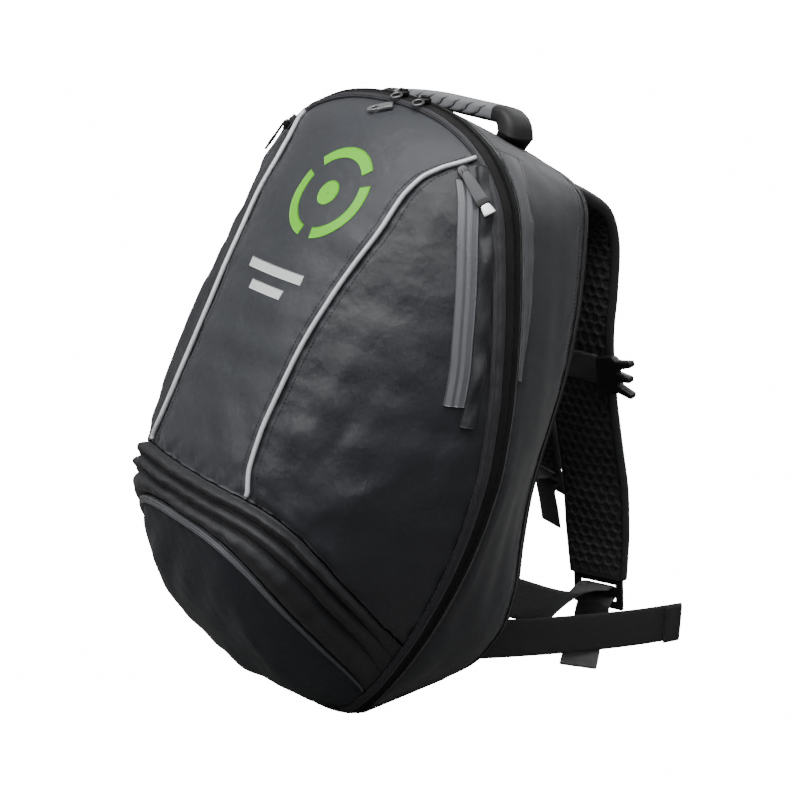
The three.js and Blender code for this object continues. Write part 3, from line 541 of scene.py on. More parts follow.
class Cloth:
    """Heights that cloth adds to the shell: folds, puckers and the dip at a seam."""

    def __init__(self, form: BagForm) -> None:
        """Keeps the form that the folds lie on.

        Args:
            form: The bag's surfaces.
        """
        self.form = form

    def folds(self, places: Array, folds: Sequence[Fold]) -> Array:
        """Height of a set of folds at world places on the front."""
        total = np.zeros(places.shape[:-1])
        for number, fold in enumerate(folds):
            t = np.linspace(0, 1, 24)
            line = self.form.front(
                fold.start[0] + (fold.end[0] - fold.start[0]) * t, fold.start[1] + (fold.end[1] - fold.start[1]) * t
            )
            gaps = np.linalg.norm(places[..., None, :] - line, axis=-1)
            nearest = np.argmin(gaps, -1)
            near = np.min(gaps, -1)
            taper = np.sin(math.pi * np.clip(nearest / (len(t) - 1), 0.04, 0.96)) ** 0.6
            wander = 1 + 0.35 * ripple(places, 40 + number, (0.03,))
            total += fold.height * taper * bell(near, fold.width * wander)
        return total

    def seam(self, distance: Array, places: Array, seed: int, dip: float = 0.0014, pucker: float = 0.0006) -> Array:
        """Height beside a stitched seam, from the distance to it."""
        small = ripple(places, seed, (0.011, 0.017))
        return -dip * bell(distance, 0.0035) + pucker * small * bell(distance, 0.012)


class Stitcher:
    """Lays what repeats along a path, with Geometry Nodes."""

    def __init__(self, maker: MeshMaker) -> None:
        """Keeps the maker, and builds no tree yet.

        Args:
            maker: Where finished pieces are listed.
        """
        self.maker = maker
        self.trees: dict[str, bpy.types.NodeTree] = {}

    def tree(self, name: str, shape: str) -> bpy.types.NodeTree:
        """Node tree that sets one shape at even steps along each curve.

        Args:
            name: Name of the tree.
            shape: thread for a short round stitch, tooth for a zip's tooth.

        Returns:
            The tree, with named inputs for the sizes.
        """
        if name in self.trees:
            return self.trees[name]
        tree = bpy.data.node_groups.new(name, "GeometryNodeTree")
        face = tree.interface
        face.new_socket("Geometry", in_out="INPUT", socket_type="NodeSocketGeometry")
        for label, value in (("Pitch", 0.003), ("Length", 0.0022), ("Width", 0.0007), ("Thickness", 0.0007)):
            face.new_socket(label, in_out="INPUT", socket_type="NodeSocketFloat").default_value = value
        face.new_socket("Material", in_out="INPUT", socket_type="NodeSocketMaterial")
        face.new_socket("Geometry", in_out="OUTPUT", socket_type="NodeSocketGeometry")
        add, join = tree.nodes.new, tree.links.new
        source, sink = add("NodeGroupInput"), add("NodeGroupOutput")
        to_curve = add("GeometryNodeMeshToCurve")
        points = add("GeometryNodeCurveToPoints")
        points.mode = "LENGTH"
        join(source.outputs["Geometry"], to_curve.inputs["Mesh"])
        join(to_curve.outputs["Curve"], points.inputs["Curve"])
        join(source.outputs["Pitch"], points.inputs["Length"])
        size = add("ShaderNodeCombineXYZ")
        join(source.outputs["Width"], size.inputs["X"])
        join(source.outputs["Thickness"], size.inputs["Y"])
        join(source.outputs["Length"], size.inputs["Z"])
        if shape == "thread":
            unit = add("GeometryNodeMeshUVSphere")
            unit.inputs["Segments"].default_value = 6
            unit.inputs["Rings"].default_value = 5
            unit.inputs["Radius"].default_value = 0.5
        else:
            unit = add("GeometryNodeMeshCube")
        flat = add("GeometryNodeStoreNamedAttribute")
        flat.data_type = "FLOAT2"
        flat.domain = "CORNER"
        flat.inputs["Name"].default_value = "UVMap"
        join(unit.outputs["Mesh"], flat.inputs["Geometry"])
        join(unit.outputs["UV Map"], flat.inputs["Value"])
        place = add("GeometryNodeInstanceOnPoints")
        join(points.outputs["Points"], place.inputs["Points"])
        join(flat.outputs["Geometry"], place.inputs["Instance"])
        join(points.outputs["Rotation"], place.inputs["Rotation"])
        join(size.outputs["Vector"], place.inputs["Scale"])
        real = add("GeometryNodeRealizeInstances")
        smooth_node = add("GeometryNodeSetShadeSmooth")
        smooth_node.inputs["Shade Smooth"].default_value = shape == "thread"
        paint = add("GeometryNodeSetMaterial")
        join(place.outputs["Instances"], real.inputs["Geometry"])
        join(real.outputs["Geometry"], smooth_node.inputs["Geometry"])
        join(smooth_node.outputs["Geometry"], paint.inputs["Geometry"])
        join(source.outputs["Material"], paint.inputs["Material"])
        join(paint.outputs["Geometry"], sink.inputs["Geometry"])
        self.trees[name] = tree
        return tree

    def along(
        self, name: str, lines: Sequence[Array], shape: str, finish: bpy.types.Material, **sizes: float
    ) -> bpy.types.Object:
        """Sets a shape along lines and keeps the result as a plain mesh.

        Args:
            name: Name of the piece.
            lines: Paths, each a list of world places.
            shape: thread or tooth.
            finish: Material of the shapes.
            **sizes: Values for the tree's inputs.

        Returns:
            The piece.
        """
        points = np.concatenate(lines)
        starts = np.cumsum([0] + [len(line) for line in lines])
        edges = [[i, i + 1] for a, b in zip(starts[:-1], starts[1:]) for i in range(a, b - 1)]
        mesh = bpy.data.meshes.new(name + "_path")
        mesh.from_pydata([tuple(p) for p in points.tolist()], edges, [])
        holder = bpy.data.objects.new(name + "_path", mesh)
        bpy.context.scene.collection.objects.link(holder)
        tree = self.tree(f"{shape}s along a path", shape)
        repeat = holder.modifiers.new("repeat", "NODES")
        repeat.node_group = tree
        sockets = {s.name: s.identifier for s in tree.interface.items_tree if s.in_out == "INPUT"}
        for label, value in sizes.items():
            repeat[sockets[label.capitalize()]] = value
        repeat[sockets["Material"]] = finish
        graph = bpy.context.evaluated_depsgraph_get()
        result = bpy.data.meshes.new_from_object(holder.evaluated_get(graph), depsgraph=graph)
        result.name = name
        holder.modifiers.remove(repeat)
        bpy.data.objects.remove(holder)
        obj = bpy.data.objects.new(name, result)
        bpy.context.scene.collection.objects.link(obj)
        self.maker.made.append(obj)
        return obj


@dataclass
class Shop:
    """What every sub-assembly works with."""

    form: BagForm
    maker: MeshMaker
    cloth: Cloth
    stitcher: Stitcher
    finishes: Finishes

    def finish(
        self, obj: bpy.types.Object, material: bpy.types.Material, slot: str, *nodes: str
    ) -> bpy.types.Object:
        """Gives a piece its material and its body, and hides the nodes that it stands for."""
        if obj.data.materials:
            obj.data.materials[0] = material
        else:
            obj.data.materials.append(material)
        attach(obj, BODY)
        if nodes:
            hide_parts(*nodes)
        log.info("%s: %d faces", obj.name, len(obj.data.polygons))
        return obj

    def stitches(self, name: str, lines: Sequence[Array], slot: str, pitch: float = 0.0032) -> bpy.types.Object:
        """Row of thread stitches along lines."""
        obj = self.stitcher.along(
            name, lines, "thread", self.finishes.thread,
            pitch=pitch, length=pitch * 0.72, width=0.0008, thickness=0.0006,
        )
        return self.finish(obj, self.finishes.thread, slot)


@dataclass
class FrontShell:
    """Centre panel, side pocket panels and the piping between them."""

    shop: Shop
    rows: int = 150
    centre_cols: int = 121
    side_cols: int = 70
    edge_gap: float = 0.0009
    fold_gap: float = 0.002
    full_width: float = 0.334
    stitch_gap: float = 0.0065
    piping_tuck: float = 0.0035
    piping_radius: float = 0.0018
    piping_lay: float = 0.0022
    panel_top: float = 0.006

    def __post_init__(self) -> None:
        """Makes the line of the piping."""
        self.piping_at = Curve([r[0] for r in PIPING], [r[1] for r in PIPING])
        self.foot = PIPING[-1][1]

    def downs(self, foot_across: Array, top: float) -> Array:
        """Heights of a panel's rows for each column, down to the first ridge."""
        foot = RINGS[0](foot_across) - self.fold_gap
        t = np.linspace(0, 1, self.rows) ** 1.25
        return top + (foot[None, :] - top) * t[:, None]

    def relief(self, down: Array, across: Array) -> Array:
        """Height of the cloth over the shell: fullness between the seams, folds and puckers."""
        form, cloth = self.shop.form, self.shop.cloth
        places = form.front(down, across)
        local = form.front_local(down, across)
        seam = form.front_local(down, np.sign(across + 1e-9) * self.piping_at(down))
        to_seam = np.where(down > PIPING_START, np.linalg.norm(local - seam, axis=-1), 0.1)
        foot = np.abs(RINGS[0](across) - down) * form.sizes.height
        height = cloth.folds(places, FRONT_FOLDS)
        height += 0.0007 * ripple(places, 3, (0.05, 0.028)) * smooth(down, 0.05, 0.25)
        height *= 1 - 0.85 * bell(to_seam, 0.006)
        height += cloth.seam(to_seam, places, 11)
        height += cloth.seam(foot, places, 12, 0.0016, 0.0012)
        return height

    def panel(self, name: str, down: Array, across: Array) -> bpy.types.Object:
        """Closed cloth wall over one part of the shell."""
        form = self.shop.form
        outer = form.front(down, across, self.relief(down, across))
        inner = form.front(down, across, -form.sizes.wall)
        return self.shop.maker.wall(name, outer, inner)

    def build(self) -> None:
        """Builds the panels, their piping and the seams beside it."""
        shop, finishes = self.shop, self.shop.finishes
        u = crowded(self.centre_cols)
        down = self.downs(u * self.foot, self.panel_top)
        edge = np.where(down <= PIPING[1][0], 1.0, self.piping_at(down))
        centre = self.panel("front_cloth", down, u[None, :] * (edge - self.edge_gap / self.full_width))
        shop.finish(centre, finishes.front_cloth, "coated_cloth", "front_panel")
        for side_name, side in SIDES:
            u = np.sin(np.linspace(0, 1, self.side_cols) * math.pi / 2)
            down = self.downs(self.foot + (1 - self.foot) * u, PIPING_START - 0.006)
            across = side * (self.piping_at(down) + self.edge_gap / self.full_width + (1 - self.piping_at(down)) * u)
            piece = self.panel(f"side_cloth_{side_name}", down, np.clip(across, -1, 1))
            shop.finish(piece, finishes.side_cloth, "coated_cloth", f"side_panel_{side_name}")
            self.piping(side_name, side)

    def piping(self, side_name: str, side: int) -> None:
        """Round silver piping and the stitches beside it."""
        shop, form = self.shop, self.shop.form
        down = np.linspace(PIPING_START - self.piping_tuck, PIPING[-1][0] + 0.006, 240)
        across = side * self.piping_at(down)
        centre = form.front(down, across, self.piping_lay - 0.0006)
        way = np.gradient(centre, axis=0)
        way /= np.linalg.norm(way, axis=-1, keepdims=True)
        out = form.front(down, across, 0.01) - form.front(down, across)
        out -= way * np.sum(out * way, -1, keepdims=True)
        out /= np.linalg.norm(out, axis=-1, keepdims=True)
        sideways = np.cross(way, out)
        angle = np.linspace(0, 2 * math.pi, 13)[:-1]
        ring = np.stack([np.cos(angle), np.sin(angle)], -1) * self.piping_radius
        rings = centre[:, None] + sideways[:, None] * ring[None, :, :1] + out[:, None] * ring[None, :, 1:]
        tube = shop.maker.rings(f"silver_piping_{side_name}", rings)
        shop.finish(tube, shop.finishes.piping, "silver_piping", f"piping_{side_name}")
        lines = []
        for shift in (-1, 1):
            near = side * (self.piping_at(down) + shift * self.stitch_gap / (self.full_width / 2 * form.half(down)))
            lines.append(form.front(down, near, self.relief(down, near) + 0.0002))
        shop.stitches(f"piping_stitches_{side_name}", lines, "coated_cloth")


@dataclass
class LowerFront:
    """Expansion ridges, the bottom pocket and its zip."""

    shop: Shop
    cols: int = 321
    ridge_rows: int = 15
    ridge_height: float = 0.0062
    groove: float = 0.0022
    run_out: float = 0.955
    pocket_rows: int = 90
    zip_width: float = 0.0068
    zip_thick: float = 0.0012

    def ridge(self, number: int) -> None:
        """One soft ridge with gathers, between two grooves."""
        form, shop = self.shop.form, self.shop
        across = crowded(self.cols)[None, :]
        t = np.linspace(0, 1, self.ridge_rows)[:, None]
        high, low = RINGS[number](across), RINGS[number + 1](across)
        edge = 0.0006
        down = high + edge + (low - high - 2 * edge) * t
        places = form.front(down, np.broadcast_to(across, down.shape))
        fade = smooth(self.run_out - np.abs(across), 0, 0.12)
        swell = np.sin(math.pi * t) ** 0.62
        gathers = ripple(places, 60 + number, (0.014, 0.024, 0.05))
        sag = 0.35 * np.sin(2 * math.pi * t) * 0.0016
        height = self.ridge_height * fade * swell * (1 + 0.16 * gathers) - self.groove * fade * (1 - swell) + sag * fade
        outer = form.front(down, np.broadcast_to(across, down.shape), height)
        inner = form.front(down, np.broadcast_to(across, down.shape), -form.sizes.wall - self.groove)
        piece = shop.maker.wall(f"ridge_cloth_{number + 1}", outer, inner)
        shop.finish(piece, shop.finishes.dark_cloth, "dark_cloth", f"expansion_ridge_{number + 1}")

    def relief(self, down: Array, across: Array) -> Array:
        """Height of the bottom pocket's cloth."""
        form, cloth = self.shop.form, self.shop.cloth
        places = form.front(down, across)
        top = np.abs(down - RINGS[3](across)) * form.sizes.height
        height = cloth.folds(places, POCKET_FOLDS)
        height += 0.0009 * ripple(places, 21, (0.06, 0.03))
        height += 0.003 * smooth(top, 0.012, 0.05) * smooth(1 - down, 0.0, 0.10)
        return height * smooth(top, 0.004, 0.02) + cloth.seam(top, places, 22, 0.0010, 0.0008)

    def build(self) -> None:
        """Builds the ridges, the pocket and its zip."""
        form, shop = self.shop.form, self.shop
        for number in range(3):
            self.ridge(number)
        across = np.broadcast_to(crowded(self.cols)[None, :], (self.pocket_rows, self.cols))
        t = np.linspace(0, 1, self.pocket_rows)[:, None]
        top = RINGS[3](across) + 0.0006
        down = top + (1 - top) * t
        outer = form.front(down, across, self.relief(down, across))
        inner = form.front(down, across, -form.sizes.wall)
        pocket = shop.maker.wall("bottom_pocket_cloth", outer, inner)
        shop.finish(pocket, shop.finishes.pocket_cloth, "dark_cloth", "bottom_pocket")
        self.zip()

    def zip(self) -> None:
        """Coated zip along the pocket's top edge, with its two rails."""
        form, shop = self.shop.form, self.shop
        across = np.linspace(-0.93, 0.93, self.cols)[None, :]
        t = np.linspace(0, 1, 15)[:, None]
        width = self.zip_width * (1 - 0.6 * across**4) / form.sizes.height
        down = RINGS[3](across) + width * (0.1 + 0.9 * t)
        across = np.broadcast_to(across, down.shape)
        rails = 0.0007 * (bell(t - 0.36, 0.09) + bell(t - 0.64, 0.09)) - 0.0004 * bell(t - 0.5, 0.05)
        height = 0.0007 + self.zip_thick + rails
        outer = form.front(down, across, height)
        inner = form.front(down, across, 0.0003)
        piece = shop.maker.wall("bottom_zip_film", outer, inner)
        shop.finish(piece, shop.finishes.coated_zip, "coated_zip", "bottom_pocket_zip")


@dataclass
class ZipRim:
    """Main zip round the whole arch, with the binding inside it."""

    shop: Shop
    count: int = 700
    tape_thick: float = 0.0011
    lay: float = 0.0006
    tooth_pitch: float = 0.0016
    binding_thick: float = 0.0030

    def along(self) -> Array:
        """Places along the whole arch, closer at the crown where it turns most."""
        u = np.linspace(-1, 1, self.count)
        return np.sign(u) * np.maximum(np.abs(u) ** 1.7, 1e-6)

    def overlay(self, name: str, along: Array, reaches: Array, top: Array, under: float) -> bpy.types.Object:
        """Closed strip over the shell between reaches inside the arch."""
        form = self.shop.form
        down, across = form.inside_arch(along[:, None], reaches)
        outer = form.front(down, across, top)
        inner = form.front(down, across, under)
        return self.shop.maker.wall(name, outer, inner)

    def build(self) -> None:
        """Builds the tape, its coil, the binding and its seam."""
        shop, sizes = self.shop, self.shop.form.sizes
        along = self.along()
        t = np.linspace(0, 1, 13)[None, :]
        reaches = 0.0002 + (sizes.zip_reach - 0.0002) * t + 0 * along[:, None]
        coil = 0.0011 * bell(t - 0.42, 0.13) - 0.0005 * bell(t - 0.42, 0.03)
        top = self.lay + self.tape_thick + coil + 0 * along[:, None]
        tape = self.overlay("zip_tape", along, reaches, top, self.lay)
        shop.finish(tape, shop.finishes.zip_tape, "zip_tape", "main_zip")
        self.coil(along)
        spread = smooth(np.abs(along), 0.06, 0.14)[:, None]
        width = sizes.binding_crown + (sizes.binding_width - sizes.binding_crown) * spread
        reaches = sizes.zip_reach + 0.0002 + width * t
        places = shop.form.front(*shop.form.inside_arch(along[:, None], reaches))
        wave = ripple(places, 31, (0.012, 0.02, 0.04))
        roll = np.sin(math.pi * np.clip(t, 0.03, 0.97)) ** 0.55
        seam = bell(t - 0.62, 0.05)
        top = self.lay + self.binding_thick * roll * (1 + 0.10 * wave) - 0.0011 * seam
        binding = self.overlay("binding_cloth", along, reaches, top, self.lay)
        shop.finish(binding, shop.finishes.binding, "dark_cloth", "edge_binding")
        down, across = shop.form.inside_arch(along, sizes.zip_reach + width[:, 0] * 0.62)
        line = shop.form.front(down, across, self.lay + self.binding_thick * 0.72)
        shop.stitches("binding_stitches", [line], "dark_cloth", 0.0036)

    def coil(self, along: Array) -> None:
        """Teeth of the zip, in two rows."""
        form, shop = self.shop.form, self.shop
        lines = []
        for reach in (0.36, 0.48):
            down, across = form.inside_arch(along, form.sizes.zip_reach * reach)
            lines.append(form.front(down, across, self.lay + self.tape_thick + 0.0009))
        teeth = shop.stitcher.along(
            "zip_coil", lines, "thread", shop.finishes.zip_tape,
            pitch=self.tooth_pitch, length=0.0011, width=0.0020, thickness=0.0012,
        )
        shop.finish(teeth, shop.finishes.zip_tape, "zip_tape")


@dataclass
class Gusset:
    """Cloth wall behind the zip and the rain flaps on it."""

    shop: Shop
    count: int = 560
    cols: int = 46
    flap_thick: float = 0.0012

    def relief(self, along: Array, share: Array) -> Array:
        """Height of the gusset's cloth over its form."""
        form, cloth = self.shop.form, self.shop.cloth
        depth = form.sizes.gusset_depth
        places = form.gusset(along, share)
        front_edge, back_edge = share * depth, (1 - share) * depth
        side = smooth(np.abs(along), 0.03, 0.12)
        height = 0.0010 * ripple(places, 71, (0.12, 0.08)) * side
        creases = ripple(places * np.array([1.0, 1.0, 0.28]), 72, (0.035, 0.02))
        height += 0.0007 * creases * side * smooth(back_edge, 0.0, 0.03)
        height += 0.0045 * side * np.sin(math.pi * np.clip(share, 0, 1)) ** 0.8 * smooth(1 - np.abs(along), 0, 0.2)
        height *= smooth(front_edge, 0.0, 0.012) * smooth(back_edge, 0.0, 0.010)
        height += cloth.seam(back_edge, places, 73, 0.0012, 0.0003)
        height += cloth.seam(front_edge - 0.004, places, 74, 0.0010, 0.0002) * (front_edge > 0.001)
        return height

    def build(self) -> None:
        """Builds the gusset, its seams and both flaps."""
        shop, form, finishes = self.shop, self.shop.form, self.shop.finishes
        u = np.linspace(-1, 1, self.count)
        along = (np.sign(u) * np.maximum(np.abs(u) ** 1.6, 1e-6))[:, None]
        share = np.linspace(0.0045, 1.0, self.cols)[None, :]
        along, share = np.broadcast_arrays(along, share)
        proud = form.sizes.gusset_proud
        outer = form.gusset(along, share, proud + self.relief(along, share))
        inner = form.gusset(along, share, proud - 0.002)
        piece = shop.maker.wall("gusset_cloth", outer, inner)
        shop.finish(piece, finishes.gusset_cloth, "coated_cloth", "gusset")
        lines = []
        for at in (0.075, 0.93):
            line = np.full(self.count, at)
            lines.append(form.gusset(along[:, 0], line, proud + self.relief(along[:, 0], line) + 0.0002))
        shop.stitches("gusset_stitches", lines, "coated_cloth")
        for side_name, side in SIDES:
            self.flap(side_name, side)

    def flap(self, side_name: str, side: int) -> None:
        """Rain flap beside the zip, with a stitched hem."""
        form, shop = self.shop.form, self.shop
        reach = Curve([r[0] for r in FLAP], [r[1] for r in FLAP])
        down = np.linspace(FLAP[0][0], FLAP[-1][0], 150)[:, None]
        t = np.linspace(0, 1, 16)[None, :]
        share = 0.015 + (reach(down) - 0.015) * t
        along = side * np.broadcast_to(down, share.shape)
        places = form.gusset(along, share)
        base = form.sizes.gusset_proud + 0.00085
        lift = 0.0006 * ripple(places, 81, (0.04, 0.02)) * t + 0.0022 * np.sin(math.pi * t) ** 0.7
        lift += 0.0004 * bell(t - 0.9, 0.05) - 0.0005 * bell(t - 0.78, 0.03)
        outer = form.gusset(along, share, base + self.flap_thick + lift)
        inner = form.gusset(along, share, base)
        piece = shop.maker.wall(f"flap_cloth_{side_name}", outer, inner)
        shop.finish(piece, shop.finishes.flap_cloth, "coated_cloth", f"rain_flap_{side_name}")
        line = outer[:, 12] + (outer[:, 12] - inner[:, 12]) * 0.04
        shop.stitches(f"flap_stitches_{side_name}", [line], "coated_cloth")


@dataclass(frozen=True)
class BlockSize:
    """Length, width and thickness of a small hard piece."""

    length: float
    width: float
    thick: float


class BlockShape(Enum):
    """Outlines of the small hard pieces."""

    SLIDER = "slider"
    TAB = "tab"
    TIP = "tip"


def frame_on(origin: Array, along: Array, normal: Array) -> Matrix:
    """Matrix that sets a piece on a surface, its length along one way and its top outwards."""
    along = along / np.linalg.norm(along)
    across = np.cross(normal, along)
    across /= np.linalg.norm(across)
    up = np.cross(along, across)
    turned = Matrix((along, across, up)).transposed().to_4x4()
    turned.translation = Vector(origin)
    return turned


class Hardware:
    """Small moulded and cast pieces, each a rounded solid from a few lines."""

    def __init__(self, maker: MeshMaker) -> None:
        """Keeps the maker.

        Args:
            maker: Where finished pieces are listed.
        """
        self.maker = maker

    def rounded(
        self, name: str, outline: Sequence[tuple[float, float]], thick: float, place: Matrix,
        holes: Sequence[Sequence[tuple[float, float]]] = (), bevel: float = 0.0006, segments: int = 3,
    ) -> bpy.types.Object:
        """Plate of a given outline with rounded edges.

        Args:
            name: Name of the piece.
            outline: Points of the outline, along and across.
            thick: Thickness.
            place: Where the plate's middle goes.
            holes: Outlines of its openings.
            bevel: Radius of the rounded edges.
            segments: Steps round an edge.

        Returns:
            The piece, with its place in its mesh.
        """
        curve = bpy.data.curves.new(name, "CURVE")
        curve.dimensions = "2D"
        curve.fill_mode = "BOTH"
        for loop in (outline, *holes):
            spline = curve.splines.new("POLY")
            spline.points.add(len(loop) - 1)
            spline.use_cyclic_u = True
            for point, (a, b) in zip(spline.points, loop):
                point.co = (a, b, 0, 1)
        curve.extrude = thick / 2
        holder = bpy.data.objects.new(name + "_outline", curve)
        bpy.context.scene.collection.objects.link(holder)
        graph = bpy.context.evaluated_depsgraph_get()
        mesh = bpy.data.meshes.new_from_object(holder.evaluated_get(graph), depsgraph=graph)
        bpy.data.objects.remove(holder)
        work = bmesh.new()
        work.from_mesh(mesh)
        bmesh.ops.remove_doubles(work, verts=work.verts, dist=1e-6)
        bmesh.ops.dissolve_limit(work, angle_limit=0.01, verts=work.verts, edges=work.edges)
        bmesh.ops.recalc_face_normals(work, faces=work.faces)
        edges = [e for e in work.edges if len(e.link_faces) == 2 and e.calc_face_angle() > 0.5]
        bmesh.ops.bevel(
            work, geom=edges, offset=bevel, segments=segments, profile=0.5, affect="EDGES", clamp_overlap=True
        )
        bmesh.ops.triangulate(work, faces=[f for f in work.faces if len(f.verts) > 4])
        bmesh.ops.transform(work, matrix=place, verts=work.verts)
        work.to_mesh(mesh)
        work.free()
        mesh.name = name
        obj = bpy.data.objects.new(name, mesh)
        bpy.context.scene.collection.objects.link(obj)
        mesh.shade_smooth()
        mesh.set_sharp_from_angle(angle=math.radians(40))
        self.maker.made.append(obj)
        return obj

    def outline(self, shape: BlockShape, size: BlockSize) -> list[tuple[float, float]]:
        """Outline of a small piece, along and across."""
        a, b = size.length / 2, size.width / 2
        if shape is BlockShape.SLIDER:
            half = [(-a, 0.55 * b), (-0.5 * a, b), (0.35 * a, b), (0.6 * a, 0.62 * b), (a, 0.5 * b)]
        elif shape is BlockShape.TAB:
            half = [(-a, 0.45 * b), (-0.86 * a, 0.72 * b), (-0.4 * a, 0.86 * b), (0.5 * a, b), (a, b)]
        else:
            half = [(-a, b), (0.4 * a, b), (0.82 * a, 0.78 * b), (a, 0.4 * b)]
        return [(x, y) for x, y in half] + [(x, -y) for x, y in reversed(half)]

    def joined(self, name: str, objects: Sequence[bpy.types.Object]) -> bpy.types.Object:
        """Joins several pieces into one mesh."""
        work = bmesh.new()
        for obj in objects:
            work.from_mesh(obj.data)
        first = objects[0]
        work.to_mesh(first.data)
        work.free()
        first.name = first.data.name = name
        for obj in objects[1:]:
            self.maker.made.remove(obj)
            bpy.data.objects.remove(obj)
        first.data.shade_smooth()
        first.data.set_sharp_from_angle(angle=math.radians(40))
        return first


@dataclass
class SidePocketZip:
    """Coated zip of a side pocket, the gathered guard beside it, its slider and its pull."""

    shop: Shop
    side_name: str
    side: int
    film: float = 0.015
    film_thick: float = 0.0014
    lay: float = 0.0007
    guard: float = 0.010
    slider: BlockSize = BlockSize(0.0125, 0.0085, 0.0030)
    tab: BlockSize = BlockSize(0.0280, 0.0095, 0.0019)
    tip: BlockSize = BlockSize(0.0085, 0.0092, 0.0021)
    band: BlockSize = BlockSize(0.0046, 0.0099, 0.0025)
    slider_down: float = 0.088
    pull_foot: tuple[float, float] = (0.134, 0.92)

    def strip(self, name: str, low: float, high: float, start: float, end: float, lift: Callable) -> bpy.types.Object:
        """Closed strip that follows the zip, between two distances from its line."""
        form = self.shop.form
        line = Curve([r[0] for r in SIDE_ZIP], [r[1] for r in SIDE_ZIP])
        down = np.linspace(start, end, 260)[:, None]
        t = np.linspace(0, 1, 21)[None, :]
        middle = line(down)
        shift = (low + (high - low) * t) / form.stretch_across(down, middle)
        across = self.side * np.minimum(middle + shift, 0.998)
        down = np.broadcast_to(down, across.shape)
        places = form.front(down, across)
        outer = form.front(down, across, lift(t, places))
        inner = form.front(down, across, self.lay * 0.3)
        return self.shop.maker.wall(name, outer, inner)

    def build(self) -> None:
        """Builds the film, the guard, the slider and the pull."""
        shop, finishes = self.shop, self.shop.finishes

        def film(t: Array, places: Array) -> Array:
            rails = 0.0009 * (bell(t - 0.32, 0.09) + bell(t - 0.68, 0.09)) - 0.0007 * bell(t - 0.5, 0.035)
            return self.lay + self.film_thick + rails - 0.0006 * (bell(t - 0.06, 0.04) + bell(t - 0.94, 0.04))

        half = self.film / 2
        piece = self.strip(f"side_zip_film_{self.side_name}", -half, half, 0.094, 0.402, film)
        shop.finish(piece, finishes.coated_zip, "coated_zip", f"side_zip_{self.side_name}")

        def gathers(t: Array, places: Array) -> Array:
            soft = ripple(places, 90, (0.035, 0.022))
            return 0.0012 + 0.0034 * np.sin(math.pi * t) ** 0.5 * (1 + 0.45 * soft)

        guard = self.strip(
            f"zip_guard_{self.side_name}", half + 0.0006, half + self.guard, 0.075, 0.43, gathers
        )
        shop.finish(guard, finishes.guard_cloth, "dark_cloth")
        self.pull()

    def pull(self) -> None:
        """Slider, its tab and the metal end of the tab."""
        shop, form = self.shop, self.shop.form
        hardware = Hardware(shop.maker)
        line = Curve([r[0] for r in SIDE_ZIP], [r[1] for r in SIDE_ZIP])
        height = self.lay + self.film_thick + 0.0009 + self.slider.thick / 2
        start = form.front(self.slider_down, self.side * line(self.slider_down), height)
        end = form.front(self.pull_foot[0], self.side * self.pull_foot[1], height)
        foot = form.front(self.slider_down, self.side * line(self.slider_down))
        normal = (start - foot) / np.linalg.norm(start - foot)
        way = (end - start) / np.linalg.norm(end - start)
        body = hardware.rounded(
            "body", hardware.outline(BlockShape.SLIDER, self.slider), self.slider.thick, frame_on(start, way, normal)
        )
        up = frame_on(start, way, normal).to_3x3() @ Vector((0, 0, 1))
        bridge_size = BlockSize(0.0075, 0.0030, 0.0016)
        lifted = start + np.array(up) * (self.slider.thick / 2 + 0.0006)
        bridge = hardware.rounded(
            "bridge", hardware.outline(BlockShape.TAB, bridge_size), bridge_size.thick, frame_on(lifted, way, normal)
        )
        slider = hardware.joined(f"side_slider_body_{self.side_name}", [body, bridge])
        shop.finish(slider, shop.finishes.lacquer, "slider_metal", f"side_slider_{self.side_name}")
        tab_middle = start + way * self.tab.length / 2 + np.array(up) * (self.slider.thick / 2 + 0.0015)
        tab = hardware.rounded(
            f"pull_tab_{self.side_name}", hardware.outline(BlockShape.TAB, self.tab), self.tab.thick,
            frame_on(tab_middle, way, normal), bevel=0.0007,
        )
        shop.finish(tab, shop.finishes.pull_plastic, "moulded_plastic", f"side_pull_{self.side_name}")
        tip_middle = tab_middle + way * ((self.tab.length + self.tip.length) / 2)
        band_at = tab_middle + way * (self.tab.length / 2 - self.band.length / 2)
        band = hardware.rounded(
            f"pull_band_{self.side_name}", hardware.outline(BlockShape.TAB, self.band), self.band.thick,
            frame_on(band_at, way, normal), bevel=0.0004,
        )
        shop.finish(band, shop.finishes.smooth_rubber, "moulded_plastic")
        tip = hardware.rounded(
            f"pull_end_{self.side_name}", hardware.outline(BlockShape.TAB, self.tip), self.tip.thick,
            frame_on(tip_middle, way, normal), bevel=0.0005,
        )
        shop.finish(tip, shop.finishes.silver, "pull_metal", f"side_pull_tip_{self.side_name}")


